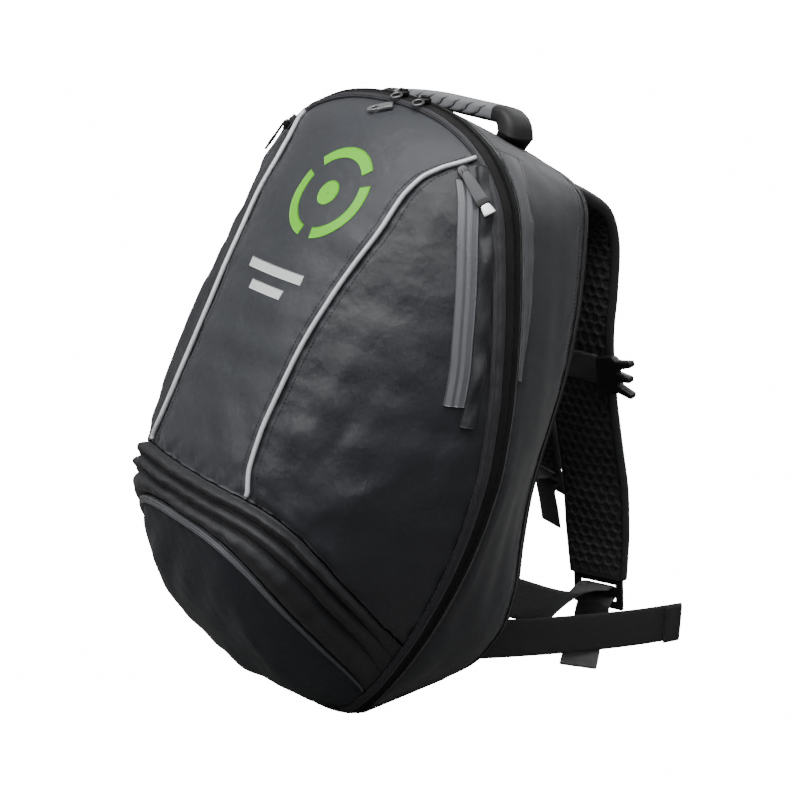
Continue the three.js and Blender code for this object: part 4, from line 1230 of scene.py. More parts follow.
@dataclass
class Crown:
    """Sliders of the main zip and the silver pull before them."""

    shop: Shop
    slots: tuple[tuple[str, float], ...] = (("left", 0.0008), ("right", 0.0042))
    slider: BlockSize = BlockSize(0.0100, 0.0070, 0.0034)
    pull: BlockSize = BlockSize(0.0205, 0.0078, 0.0019)
    ring: float = 0.0042
    wire: float = 0.0011
    lay: float = 0.0030

    def build(self) -> None:
        """Builds both sliders and the pull."""
        shop, form = self.shop, self.shop.form
        hardware = Hardware(shop.maker)
        for side_name, along in self.slots:
            down, across = form.inside_arch(np.array(along), form.sizes.zip_reach / 2)
            middle = form.front(down, across, self.lay + self.slider.thick / 2)
            normal = middle - form.front(down, across)
            place = frame_on(middle, np.array([1.0, 0, 0]), normal / np.linalg.norm(normal))
            body = hardware.rounded("body", hardware.outline(BlockShape.SLIDER, self.slider), self.slider.thick, place)
            bridge_size = BlockSize(0.0080, 0.0032, 0.0018)
            top = place @ Matrix.Translation((0, 0, self.slider.thick / 2 + 0.0006))
            bridge = hardware.rounded("bridge", hardware.outline(BlockShape.TAB, bridge_size), bridge_size.thick, top)
            slider = hardware.joined(f"zip_slider_{side_name}", [body, bridge])
            shop.finish(slider, shop.finishes.lacquer, "slider_metal", f"main_slider_{side_name}")
            self.loop(side_name, along)
        head = form.front(0.018, 0.145, 0.0022)
        end = form.front(0.032, -0.065, 0.0022)
        middle = form.front(0.025, 0.03, 0.0024)
        normal = middle - form.front(0.025, 0.03)
        way = (end - head) / np.linalg.norm(end - head)
        hole = [(0.0028 * math.cos(a) + 0.004, 0.0018 * math.sin(a)) for a in np.linspace(0, 2 * math.pi, 17)[:-1]]
        pull = hardware.rounded(
            "crown_pull_plate", hardware.outline(BlockShape.TIP, self.pull), self.pull.thick,
            frame_on(middle, way, normal / np.linalg.norm(normal)), holes=[hole], bevel=0.0005,
        )
        shop.finish(pull, shop.finishes.silver, "pull_metal", "crown_pull")

    def loop(self, side_name: str, along: float) -> None:
        """Small wire ring that hangs from a slider, over the binding."""
        shop, form = self.shop, self.shop.form
        down, across = form.inside_arch(np.array(along), form.sizes.zip_reach + 0.0015)
        middle = form.front(down, across, 0.0052)
        normal = middle - form.front(down, across)
        normal /= np.linalg.norm(normal)
        sideways = np.array([1.0, 0, 0]) - normal * normal[0]
        sideways /= np.linalg.norm(sideways)
        upwards = np.cross(normal, sideways)
        turn = np.linspace(0, 2 * math.pi, 29)[:-1][:, None]
        out = np.cos(turn) * sideways + np.sin(turn) * upwards
        angle = np.linspace(0, 2 * math.pi, 11)[:-1][None, :, None]
        rings = middle + out[:, None] * (self.ring + self.wire * np.cos(angle)) + normal * self.wire * np.sin(angle)
        index = np.arange(rings.shape[0] * rings.shape[1]).reshape(rings.shape[:2])
        index = np.concatenate([index, index[:1]])
        index = np.concatenate([index, index[:, :1]], 1)
        piece = shop.maker.build(f"slider_ring_{side_name}", rings.reshape(-1, 3), grid_faces(index))
        shop.finish(piece, shop.finishes.ring_metal, "slider_metal")


@dataclass(frozen=True)
class EndRow:
    """One row of the handle's end: how far out its outer and inner line lie, and their shares of the drop."""

    out: float
    out_down: float
    inward: float
    in_down: float


END_ROWS = (
    EndRow(0.0, 0.0, 0.0, 0.0),
    EndRow(0.009, 0.02, 0.0035, 0.03),
    EndRow(0.018, 0.16, 0.005, 0.08),
    EndRow(0.0245, 0.43, 0.006, 0.14),
    EndRow(0.0275, 0.79, 0.007, 0.20),
)
END_FOOT = EndRow(0.020, 1.0, 0.008, 1.0)


@dataclass
class Handle:
    """Moulded carry handle: a ribbed grip between two ends."""

    shop: Shop
    back: float = 0.050
    rise: float = 0.005
    half: float = 0.057
    width: float = 0.024
    thick: float = 0.0135
    sag: float = 0.005
    ribs: int = 8
    rib_height: float = 0.0010
    slant: float = 0.85
    end_grow: float = 0.005

    def section(self, width: Array, thick: Array, angle: Array) -> tuple[Array, Array]:
        """Rounded section of the handle, across and up."""
        power = 2 / 3.4
        c, s = np.cos(angle), np.sin(angle)
        return width / 2 * np.sign(c) * np.abs(c) ** power, thick / 2 * np.sign(s) * np.abs(s) ** power

    def hang(self, x: Array) -> Array:
        """How far the grip hangs below its middle at a place along it."""
        return self.sag * (np.minimum(x, 0) / self.half) ** 2

    def build(self) -> None:
        """Builds the grip and both ends."""
        shop, form = self.shop, self.shop.form
        x = np.linspace(-self.half, self.half, 361)[:, None]
        angle = np.linspace(0, 2 * math.pi, 65)[None, :-1]
        pitch = 2 * self.half / self.ribs
        lean = self.slant * self.thick * np.sin(angle) - 0.3 * self.width * np.cos(angle)
        phase = ((x - lean + self.half) / pitch) % 1.0
        groove = bell(phase - 0.5, 0.10) * smooth(self.half - np.abs(x), 0.004, 0.010)
        across, up = self.section(self.width, self.thick, angle)
        face = smooth(0.92 - np.abs(up) / (self.thick / 2), 0.0, 0.25) * (np.cos(angle) < 0)
        grow = -self.rib_height * 0.9 * groove * face
        across, up = self.section(self.width + 2 * grow, self.thick + 2 * grow, angle)
        middle = self.rise - self.thick / 2 - self.hang(x)
        local = np.stack([np.broadcast_to(x, across.shape), self.back + across, middle + up], -1)
        grip = shop.maker.rings("grip_ribbed", form.place(local))
        # Painted shade: the second material, near-black smooth rubber, goes on faces deep in the grooves and on the
        # grip's underside.
        grip.data.materials.append(shop.finishes.rubber)
        grip.data.materials.append(shop.finishes.smooth_rubber)
        shaded_grip_faces = ((groove * face > 0.45) | ((np.sin(angle) < -0.45) & (np.cos(angle) < 0.2) & (x < 9)))[:-1]
        index = np.zeros(len(grip.data.polygons), np.int32)
        index[: shaded_grip_faces.size] = shaded_grip_faces.ravel()
        grip.data.polygons.foreach_set("material_index", index)
        shop.finish(grip, shop.finishes.rubber, "grip_rubber", "handle_grip")
        for side_name, side in SIDES:
            self.end(side_name, side)

    def top_of_gusset(self, x: Array, v: Array) -> Array:
        """Height of the gusset's top at places of the leaning bag."""
        form = self.shop.form
        low, high = np.zeros_like(x), np.full_like(x, 0.2)
        share = v / form.sizes.gusset_depth
        for _ in range(30):
            down = (low + high) / 2
            inside = form.gusset_local(down, share)[..., 0] < np.abs(x)
            low, high = np.where(inside, down, low), np.where(inside, high, down)
        return form.gusset_local(low, share)[..., 2] + form.sizes.gusset_proud

    def end(self, side_name: str, side: int) -> None:
        """Smooth end that turns down onto the gusset, with a lip at its outer foot."""
        shop, form = self.shop, self.shop.form
        start = side * (self.half + form.sizes.gap)
        top = self.rise - float(self.hang(np.array(start)))
        foot_x = np.array([start + side * END_FOOT.out])
        drop = top - float(self.top_of_gusset(foot_x, np.array([self.back]))[0])
        at = np.arange(len(END_ROWS))
        fine = np.linspace(0, len(END_ROWS) - 1, 33)
        names = ("out", "out_down", "inward", "in_down")
        columns = [Curve(at, [getattr(row, name) for row in END_ROWS])(fine) for name in names]
        angle = np.linspace(0, 2 * math.pi, 49)[:-1]

        def ring(out: float, out_down: float, inward: float, in_down: float, width: float) -> Array:
            outer = np.array([start + side * out, self.back, top - out_down * drop])
            inner = np.array([start + side * inward, self.back, top - self.thick - in_down * (drop - self.thick)])
            thick = np.linalg.norm(outer - inner)
            across, up = self.section(np.array(width), np.array(thick), angle)
            return (outer + inner) / 2 + np.array([0, 1, 0]) * across[:, None] + (outer - inner) / thick * up[:, None]

        rings = [
            ring(a, b, c, d, self.width + self.end_grow * i / (len(fine) - 1))
            for i, (a, b, c, d) in enumerate(zip(*columns))
        ]
        last = rings[-1]
        rings.append(last + (last.mean(0) - last) * 0.05 + np.array([0, 0, -0.0006]))
        foot = ring(END_FOOT.out, END_FOOT.out_down, END_FOOT.inward, END_FOOT.in_down, self.width + self.end_grow)
        foot[:, 1] = np.clip(foot[:, 1], 0.003, form.sizes.gusset_depth - 0.003)
        foot[:, 2] = self.top_of_gusset(foot[:, 0], foot[:, 1]) + 0.0004
        rings.append(foot)
        end = shop.maker.rings(f"grip_end_{side_name}", form.place(np.stack(rings)))
        shop.finish(end, shop.finishes.smooth_rubber, "grip_rubber", f"handle_end_{side_name}")


class Padding:
    """Lets a closed coarse shape swell as cloth under pressure, to pad a finer one."""

    def __init__(self, cap: float, pressure: float = 4.0, frames: int = 20) -> None:
        """Keeps the farthest that a point may move, the pressure and the frames to step through."""
        self.cap, self.pressure, self.frames = cap, pressure, frames

    def swell(self, maker: MeshMaker, shape: bpy.types.Object, held: Array) -> Array:
        """Simulates a coarse closed shape, removes it and returns how far each point moved.

        Args:
            maker: Maker that made the shape, which forgets it.
            shape: Coarse closed shape.
            held: True for each point that seams or sewn channels hold.

        Returns:
            Shift of each point, in metres.
        """
        before = self.points(shape.data)
        shift = np.zeros_like(before)
        group = shape.vertex_groups.new(name="sewn")
        group.add(np.flatnonzero(held).tolist(), 1.0, "REPLACE")
        cloth = shape.modifiers.new("swell", "CLOTH")
        settings = cloth.settings
        settings.vertex_group_mass = group.name
        settings.use_pressure = True
        settings.uniform_pressure_force = self.pressure
        settings.effector_weights.gravity = 0
        settings.quality = 6
        scene = bpy.context.scene
        cloth.point_cache.frame_end = self.frames
        for frame in range(1, self.frames + 1):
            scene.frame_set(frame)
        moved = shape.evaluated_get(bpy.context.evaluated_depsgraph_get())
        shift = self.points(moved.data) - before
        scene.frame_set(1)
        reach = np.linalg.norm(shift, axis=-1, keepdims=True)
        log.info("%s swelled by up to %.1f mm", shape.name, 1000 * reach.max())
        shift *= np.minimum(1.0, self.cap / np.maximum(reach, 1e-9))
        maker.made.remove(shape)
        mesh = shape.data
        bpy.data.objects.remove(shape)
        bpy.data.meshes.remove(mesh)
        return shift

    @staticmethod
    def points(mesh: bpy.types.Mesh) -> Array:
        """Places of a mesh's points."""
        flat = np.empty(len(mesh.vertices) * 3, np.float32)
        mesh.vertices.foreach_get("co", flat)
        return flat.reshape(-1, 3).astype(float)

    @staticmethod
    def finer(coarse: Array, rows: int, cols: int, closed: bool = False) -> Array:
        """Spreads shifts on a coarse grid over a finer one."""
        if closed:
            coarse = np.concatenate([coarse, coarse[:, :1]], 1)
        r = np.linspace(0, coarse.shape[0] - 1, rows)
        c = np.linspace(0, coarse.shape[1] - 1, cols + int(closed))[:cols]
        r0, c0 = np.minimum(r.astype(int), coarse.shape[0] - 2), np.minimum(c.astype(int), coarse.shape[1] - 2)
        fr, fc = (r - r0)[:, None, None], (c - c0)[None, :, None]
        top = coarse[r0][:, c0] * (1 - fc) + coarse[r0][:, c0 + 1] * fc
        low = coarse[r0 + 1][:, c0] * (1 - fc) + coarse[r0 + 1][:, c0 + 1] * fc
        return top * (1 - fr) + low * fr


@dataclass
class BackPanel:
    """Padded mesh back and the base panel under the bag."""

    shop: Shop
    rows: int = 210
    cols: int = 150
    pad_height: float = 0.006
    cell: float = 0.0060
    swell_rows: int = 43
    swell_cols: int = 31
    swell_cap: float = 0.005

    def relief(self, down: Array, across: Array) -> Array:
        """Height of the pads over the panel, with a channel up the middle and two across."""
        x = np.abs(across)
        pads = smooth(x, 0.10, 0.22) * (1 - smooth(x, 0.86, 1.0))
        for level in (0.30, 0.62):
            pads = pads * (1 - 0.85 * bell(down - level, 0.018))
        ends = smooth(down, 0.02, 0.07) * smooth(1 - down, 0.02, 0.07)
        return self.pad_height * pads * ends

    def build(self) -> None:
        """Builds the pads, their mesh and the base."""
        shop, form = self.shop, self.shop.form
        z = form.sizes
        down = np.linspace(0.006, 1.0, self.rows)[:, None]
        u = np.linspace(-1, 1, self.cols)[None, :]
        down, u = np.broadcast_arrays(down, u)
        half = z.half_width * form.rear(down) + z.gusset_proud
        edge = np.maximum(u**6, np.abs(2 * down - 1) ** 12)
        thick = z.back_pad * (1 - 0.4 * edge)
        flat = np.stack([half * u, down * z.height, 0 * u], -1)
        raised = thick - self.pad_height * 0.6 + self.relief(down, u)
        raised += hex_relief(flat[..., 0], flat[..., 1], self.cell) * 0.0010 * (1 - smooth(np.abs(u), 0.93, 0.97))

        def place(height: Array) -> Array:
            v = form.back_face + height
            w = -z.height + (z.height - z.crown_drop) * (1 - down) + v * math.tan(z.lean) * down**6
            return form.place(np.stack([half * u, v, w], -1))

        outer, inner = place(raised), place(0 * raised)
        picked_rows = np.linspace(0, self.rows - 1, self.swell_rows).astype(int)
        picked_cols = np.linspace(0, self.cols - 1, self.swell_cols).astype(int)
        picks = np.ix_(picked_rows, picked_cols)
        coarse = shop.maker.wall("back_swell", outer[picks], inner[picks])
        sewn = (self.relief(down, u)[picks] < 0.35 * self.pad_height).ravel()
        held = np.concatenate([sewn, np.ones(sewn.size, bool)])
        shift = Padding(self.swell_cap).swell(shop.maker, coarse, held)
        front = shift[: sewn.size].reshape(self.swell_rows, self.swell_cols, 3)
        outer = outer + Padding.finer(front, self.rows, self.cols)
        panel = shop.maker.wall("back_pads", outer, inner, flat[..., :2])
        shop.finish(panel, shop.finishes.air_mesh, "air_mesh", "back_panel")
        self.base()

    def base(self) -> None:
        """Base panel with a rounded edge, copied from the frame."""
        shop = self.shop
        piece = bevelled_copy(shop.maker, "base_board", "base_panel", 0.0011)
        shop.finish(piece, shop.finishes.dark_cloth, "dark_cloth", "base_panel")


def hex_relief(x: Array, y: Array, cell: float) -> Array:
    """Relief of a honeycomb: 1 on its threads and 0 in the middle of its holes."""
    row = cell * math.sqrt(3) / 2
    best = np.full(x.shape, 1e9)
    second = np.full(x.shape, 1e9)
    base = np.floor(y / row)
    for k in (-1, 0, 1, 2):
        line = base + k
        offset = np.where(line % 2 == 0, 0.0, cell / 2)
        near = np.round((x - offset) / cell)
        for j in (-1, 0, 1):
            cx, cy = (near + j) * cell + offset, line * row
            gap = np.hypot(x - cx, y - cy)
            second = np.where(gap < best, best, np.minimum(second, gap))
            best = np.minimum(best, gap)
    return 1 - smooth((second - best) / cell, 0.10, 0.42)


def bevelled_copy(maker: MeshMaker, name: str, node: str, radius: float, segments: int = 3) -> bpy.types.Object:
    """Copy of a node with its sharp edges rounded."""
    mesh = frame["nodes"][node].data.copy()
    mesh.name = name
    work = bmesh.new()
    work.from_mesh(mesh)
    bmesh.ops.remove_doubles(work, verts=work.verts, dist=1e-6)
    bmesh.ops.dissolve_limit(work, angle_limit=0.02, verts=work.verts, edges=work.edges)
    edges = [e for e in work.edges if len(e.link_faces) == 2 and e.calc_face_angle() > 0.5]
    bmesh.ops.bevel(work, geom=edges, offset=radius, segments=segments, profile=0.5, affect="EDGES", clamp_overlap=True)
    bmesh.ops.triangulate(work, faces=[f for f in work.faces if len(f.verts) > 4])
    work.to_mesh(mesh)
    work.free()
    mesh.materials.clear()
    obj = bpy.data.objects.new(name, mesh)
    bpy.context.scene.collection.objects.link(obj)
    mesh.shade_smooth()
    mesh.set_sharp_from_angle(angle=math.radians(40))
    maker.made.append(obj)
    return obj


@dataclass(frozen=True)
class StrapRow:
    """One row of the shoulder strap's line, its lengths as shares of the strap's sizes."""

    back: float
    down: float
    mid: float
    width: float
    turn: float


STRAP_ROWS = (
    StrapRow(0.006, 0.094, 0.39, 1.0, 0.0),
    StrapRow(0.25, 0.113, 0.39, 1.0, 0.0),
    StrapRow(0.43, 0.137, 0.39, 1.0, 0.0),
    StrapRow(0.53, 0.181, 0.395, 1.0, 0.0),
    StrapRow(0.587, 0.264, 0.407, 1.0, 0.0),
    StrapRow(0.613, 0.346, 0.42, 1.0, 0.02),
    StrapRow(0.71, 0.453, 0.443, 1.0, 0.04),
    StrapRow(0.8, 0.539, 0.473, 0.99, 0.07),
    StrapRow(0.897, 0.63, 0.51, 0.97, 0.1),
    StrapRow(0.961, 0.72, 0.545, 0.93, 0.11),
    StrapRow(1.0, 0.805, 0.587, 0.82, 0.12),
)


def strip_rings(spline: Spline, count: int, profile: Array, shape: Callable | None = None) -> Array:
    """Rings of a band along a spline.

    Args:
        spline: The band's line, with its directions and widths.
        count: Number of rings.
        profile: Points of the section: across as a share of half the width, and height in metres.
        shape: Adds height to the rings from their share of the way and their place across.

    Returns:
        World places, one row for each ring.
    """
    place, _, across, normal, width = spline.frames(count)
    sideways = profile[None, :, 0] * width[:, None] / 2
    height = np.broadcast_to(profile[None, :, 1], sideways.shape)
    if shape is not None:
        height = height + shape(np.linspace(0, 1, count)[:, None], sideways)
    rings = place[:, None] + across[:, None] * sideways[..., None] + normal[:, None] * height[..., None]
    rings[..., 2] = np.maximum(rings[..., 2], 0.0)
    return rings


def web_profile(thick: float, steps: int = 10) -> Array:
    """Section of flat webbing, with rounded edges."""
    u = np.linspace(-1, 1, steps)
    half = thick / 2 * (1 - np.abs(u) ** 14 * 0.75)
    return np.concatenate([np.stack([u, half], -1), np.stack([u, -half], -1)[::-1]])


@dataclass
class Harness:
    """Both shoulder straps with their locks, webbing and sternum buckle."""

    shop: Shop
    strap_width: float = 0.070
    strap_thick: float = 0.013
    bow: float = 0.155
    swing_bow: float = 1.37
    swing_drop: float = 0.86
    swing_in: float = 0.062
    cell: float = 0.0095
    web_width: float = 0.038
    tail_width: float = 0.0327
    web_thick: float = 0.0017
    lock_height: float = 0.030
    lock_thick: float = 0.004
    lock_bar: float = 0.0065
    web_reach: float = 0.070
    tail_run: float = 0.066
    tail_drop: float = 0.044
    sternum_row: float = 5.55
    sternum_length: float = 0.052
    sternum_width: float = 0.026
    waist_length: float = 0.206
    waist_fold: float = 0.016
    swell_cap: float = 0.004

    def line(self, side: int) -> Spline:
        """Centre line of one strap. The left one hangs further back and swings inwards."""
        form = self.shop.form
        swings = side < 0
        points, acrosses, widths = [], [], []
        for number, row in enumerate(STRAP_ROWS):
            t = number / (len(STRAP_ROWS) - 1)
            bow = self.bow * (1 + (self.swing_bow - 1) * t if swings else 1)
            drop = form.sizes.height * (1 + (self.swing_drop - 1) * t if swings else 1)
            inwards = self.swing_in * t**2 if swings else 0
            x = side * (row.mid * form.sizes.half_width - inwards)
            points.append([x, form.pad_face + form.sizes.gap + row.back * bow, -row.down * drop])
            angle = row.turn * math.pi / 2
            acrosses.append(form.turn(math.cos(angle), side * math.sin(angle), 0))
            widths.append(row.width * self.strap_width)
        return Spline(form.place(np.array(points)), np.array(acrosses), np.array(widths))

    def build(self) -> None:
        """Builds both sides of the harness."""
        for side_name, side in SIDES:
            spline = self.line(side)
            self.strap(side_name, side, spline)
            self.lock_and_webbing(side_name, side, spline)
            self.sternum(side_name, side, spline)
            self.waist(side_name, side)

    def strap(self, side_name: str, side: int, spline: Spline) -> None:
        """Padded strap: mesh on its inner face, cloth outside and a bound edge all round."""
        shop = self.shop
        count, face_points = 560, 84
        u = np.linspace(-0.93, 0.93, face_points)
        half = self.strap_thick / 2
        _, _, _, normal, _ = spline.frames(9)
        inner_sign = 1.0 if normal[4][1] < 0 else -1.0
        crown = half * (1 - 0.42 * np.abs(u) ** 5)
        corner = np.array([[0.985, 0.42 * half], [1.0, 0.0], [0.985, -0.42 * half]])
        inner_face = np.stack([u, inner_sign * crown], -1)
        outer_face = np.stack([u[::-1], -inner_sign * crown], -1)
        turn = corner * np.array([1.0, inner_sign])
        profile = np.concatenate([inner_face, turn, outer_face, turn[::-1] * np.array([-1.0, 1.0])])
        total_length = 0.42

        def shape(t: Array, sideways: Array) -> Array:
            edge = smooth(np.abs(profile[:, 0]), 0.84, 0.90)[None, :]
            ends = smooth(t, 0.0, 0.02) * smooth(1 - t, 0.0, 0.03)
            mesh_face = ((profile[:, 1] * inner_sign) > 0)[None, :] & (edge < 0.5)
            cells = hex_relief(sideways, t * total_length, self.cell) * 0.0014 - 0.0009
            mesh_height = inner_sign * cells * mesh_face * (1 - edge) * ends
            places = np.stack([sideways, np.broadcast_to(t * total_length, sideways.shape)], -1)
            soft = 0.0008 * ripple(places, 101, (0.05, 0.08)) * (1 - edge)
            bound = -0.0007 * bell(np.abs(profile[None, :, 0]) - 0.855, 0.012) * np.sign(profile[None, :, 1])
            return mesh_height + soft * ends + bound

        rings = strip_rings(spline, count, profile, shape)
        rings = rings + self.swollen(side_name, spline, count, profile)
        around = profile[None, :, 0] * self.strap_width / 2
        along = np.linspace(0, total_length, count)[:, None]
        size = (count, len(profile))
        flat = np.stack([np.broadcast_to(around, size), np.broadcast_to(along, size)], -1)
        strap = shop.maker.rings(f"strap_pad_{side_name}", rings, flat)
        zones = np.zeros(len(profile), int)
        zones[face_points - 1 : face_points + 3] = 2
        zones[face_points + 3 : 2 * face_points + 2] = 1
        zones[2 * face_points + 2 :] = 2
        edge_cells = 5
        for low, high in ((0, edge_cells), (face_points - 1 - edge_cells, face_points - 1)):
            zones[low:high] = 2
        strap.data.materials.append(shop.finishes.air_mesh)
        strap.data.materials.append(shop.finishes.strap_cloth)
        strap.data.materials.append(shop.finishes.dark_cloth)
        index = np.ones(len(strap.data.polygons), np.int32)
        index[: (count - 1) * len(profile)] = np.tile(zones, count - 1)
        strap.data.polygons.foreach_set("material_index", index)
        shop.finish(strap, shop.finishes.air_mesh, "air_mesh", f"shoulder_strap_{side_name}")
        place, _, across, normal, width = spline.frames(300)
        lines = []
        for edge_side in (-1, 1):
            for face in (-1, 1):
                offset = across * (edge_side * 0.80 * width / 2)[:, None]
                lines.append(place + offset + normal * face * (half * 0.88 + 0.0001))
        shop.stitches(f"strap_stitches_{side_name}", lines, "air_mesh", 0.0034)

    def swollen(self, side_name: str, spline: Spline, count: int, profile: Array) -> Array:
        """How far the strap's filling pushes each of its points out, held at its bound edge."""
        every, rows = 4, 71
        coarse = strip_rings(spline, rows, profile[::every])
        shape = self.shop.maker.rings(f"strap_swell_{side_name}", coarse)
        sewn = np.tile(np.abs(profile[::every, 0]) > 0.80, (rows, 1))
        sewn[[0, 1, -2, -1]] = True
        shift = Padding(self.swell_cap).swell(self.shop.maker, shape, sewn.ravel())
        return Padding.finer(shift.reshape(rows, -1, 3), count, len(profile), closed=True)

    def end_frame(self, spline: Spline) -> tuple[Array, Array, Array]:
        """Place, way on and direction across at the strap's end."""
        way = spline.points[-1] - spline.points[-2]
        way /= np.linalg.norm(way)
        across = spline.acrosses[-1] - way * np.dot(spline.acrosses[-1], way)
        return spline.points[-1], way, across / np.linalg.norm(across)

    def pad_point(self, down: float, across: float) -> Array:
        """World place on the back panel's rear face."""
        form = self.shop.form
        z = form.sizes
        half = z.half_width * float(form.rear(down)) + z.gusset_proud
        u = across * z.half_width / half
        thick = z.back_pad * (1 - 0.4 * max(u**6, abs(2 * down - 1) ** 12))
        v = form.back_face + thick
        w = -z.height + (z.height - z.crown_drop) * (1 - down) + v * math.tan(z.lean) * down**6
        return form.place(np.array([half * u, v, w]))

    def webbing(self, name: str, points: Array, acrosses: Array, widths: Array, count: int, *nodes: str) -> None:
        """Woven band through points."""
        shop = self.shop
        spline = Spline(points, acrosses, widths)
        rings = strip_rings(spline, count, web_profile(self.web_thick, 14))
        length = float(np.sum(np.linalg.norm(np.diff(spline.at(np.linspace(0, 1, 200)), axis=0), axis=-1)))
        profile = web_profile(self.web_thick, 14)
        flat = np.stack([
            np.broadcast_to(profile[None, :, 0] * float(np.mean(widths)) / 2, rings.shape[:2]),
            np.broadcast_to(np.linspace(0, length, count)[:, None], rings.shape[:2]),
        ], -1)
        piece = shop.maker.rings(name, rings, flat)
        dark = name.startswith("waist")
        shop.finish(piece, shop.finishes.dark_webbing if dark else shop.finishes.webbing, "webbing", *nodes)

    def lock_and_webbing(self, side_name: str, side: int, spline: Spline) -> None:
        """Ladder lock at the strap's end, and the webbing that runs through it."""
        shop, form = self.shop, self.shop.form
        end, way, across = self.end_frame(spline)
        lock = bevelled_copy(shop.maker, f"lock_plate_{side_name}", f"ladder_lock_{side_name}", 0.0008)
        shop.finish(lock, shop.finishes.black_plastic, "moulded_plastic", f"ladder_lock_{side_name}")
        slot_height = (self.lock_height - 3 * self.lock_bar) / 2
        slot_middle = (self.lock_bar + slot_height) / 2
        lock_middle = form.sizes.gap + self.lock_height / 2
        clear = self.lock_thick / 2 + 0.0008 + 0.0007
        rows = [
            (self.web_reach, -1.6), (self.web_reach / 2, -1.4), (self.web_reach / 6, -1.15), (0.0, -1.0),
            (-clear * 0.85, -0.72), (-clear, 0.0), (-clear * 0.85, 0.72), (0.0, 1.0),
        ]
        ahead = np.cross(way, across)
        ahead *= 1.0 if ahead[1] < 0 else -1.0

        def spot(forward: float, below: float) -> Array:
            return end + ahead * forward + way * below

        rearward = form.turn(0, 1, 0)
        start = self.pad_point(0.79, side * 0.6) + rearward * 0.0007
        tail_start = lock_middle + slot_middle + 0.004
        if side > 0:
            first, second = spot(0.009, tail_start), spot(0.015, tail_start + 0.010)
            second[2] = 0.00304
            tail = [first, second]
            for t in (0.45, 0.7, 1.0):
                point = spot(0.015, 0) + np.array([0.577, -0.817, 0]) * self.tail_run * t
                point[2] = 0.0008
                tail.append(point)
        else:
            tail = [spot(0.005 + 0.004 * t, tail_start + t * self.tail_drop) for t in (0, 0.5, 1)]
        points = [start, start + rearward * 0.012]
        points += [spot(f, lock_middle + b * slot_middle) for f, b in rows] + tail
        upright = form.turn(0, 0, 1)
        acrosses = []
        for k in range(len(points)):
            if k < 2:
                acrosses.append(upright)
            elif k < 5:
                mixed = upright + (across - upright) * (k - 1) / 3
                acrosses.append(mixed / np.linalg.norm(mixed))
            elif side > 0 and k >= len(points) - 4:
                acrosses.append(np.array([0.817, 0.577, 0]))
            else:
                acrosses.append(across)
        widths = np.array([self.web_width if k < 3 else self.tail_width for k in range(len(points))])
        self.webbing(
            f"lower_web_{side_name}", np.array(points), np.array(acrosses), widths, 260, f"lower_webbing_{side_name}"
        )

    def sternum(self, side_name: str, side: int, spline: Spline) -> None:
        """Sternum webbing across the strap's inner face, with one half of a buckle."""
        shop = self.shop
        part = self.sternum_row / (len(STRAP_ROWS) - 1)
        way = spline.at(np.array(part + 1e-4)) - spline.at(np.array(part - 1e-4))
        way /= np.linalg.norm(way)
        across = np.array(spline.acrosses[round(self.sternum_row)]) * side
        across -= way * np.dot(across, way)
        across /= np.linalg.norm(across)
        inner = np.cross(way, across)
        inner *= -1.0 if inner[1] > 0 else 1.0
        face = spline.at(np.array(part)) + inner * (self.strap_thick / 2 + 0.0007 + 0.0008)
        ends = np.linspace(-1, 1, 5)[:, None] * across * self.sternum_length / 2
        points = face + ends
        acrosses = np.array([way] * 5)
        widths = np.full(5, self.sternum_width)
        self.webbing(f"sternum_web_{side_name}", points, acrosses, widths, 60, f"sternum_strap_{side_name}")
        node = "buckle_male" if side > 0 else "buckle_female"
        buckle = bevelled_copy(shop.maker, f"{node}_half", node, 0.0012)
        shop.finish(buckle, shop.finishes.black_plastic, "moulded_plastic", node)

    def waist(self, side_name: str, side: int) -> None:
        """Waist strap on edge, down to the floor, with a sewn fold at its end."""
        form, shop = self.shop.form, self.shop
        rearward = form.turn(0, 1, 0)
        start = self.pad_point(0.895, side * 0.55) + rearward * 0.001
        start[1] += 0.0008
        way = np.array([0.37, 0.93, 0.0])
        way /= np.linalg.norm(way)
        way[0] *= side
        t = np.linspace(0, 1, 6)
        points = start + way * (self.waist_length * t)[:, None]
        points[:, 2] = self.web_width / 2 + (start[2] - self.web_width / 2) * (1 - t) ** 1.5
        ups = np.array([[0, 0, 1.0]] * 6)
        self.webbing(
            f"waist_web_{side_name}", points, ups, np.full(6, self.web_width), 160, f"waist_strap_{side_name}"
        )
        out = np.array([way[1], -way[0], 0]) * side
        shift = out * (0.0016 + 0.0007)
        middle = points[-1] - way * self.waist_fold / 2 + shift
        fold_line = middle + np.linspace(-0.5, 0.5, 4)[:, None] * way * self.waist_fold
        self.webbing(
            f"waist_fold_web_{side_name}", fold_line, np.array([[0, 0, 1.0]] * 4), np.full(4, self.web_width), 24,
            f"waist_fold_{side_name}",
        )
        lines = []
        for back in (0.003, 0.013):
            spot = points[-1] - way * back + out * (0.0016 + 0.0007 + 0.00105)
            lines.append(spot + np.linspace(-0.45, 0.45, 12)[:, None] * np.array([0, 0, self.web_width]))
        shop.stitches(f"waist_stitches_{side_name}", lines, "webbing", 0.0024)


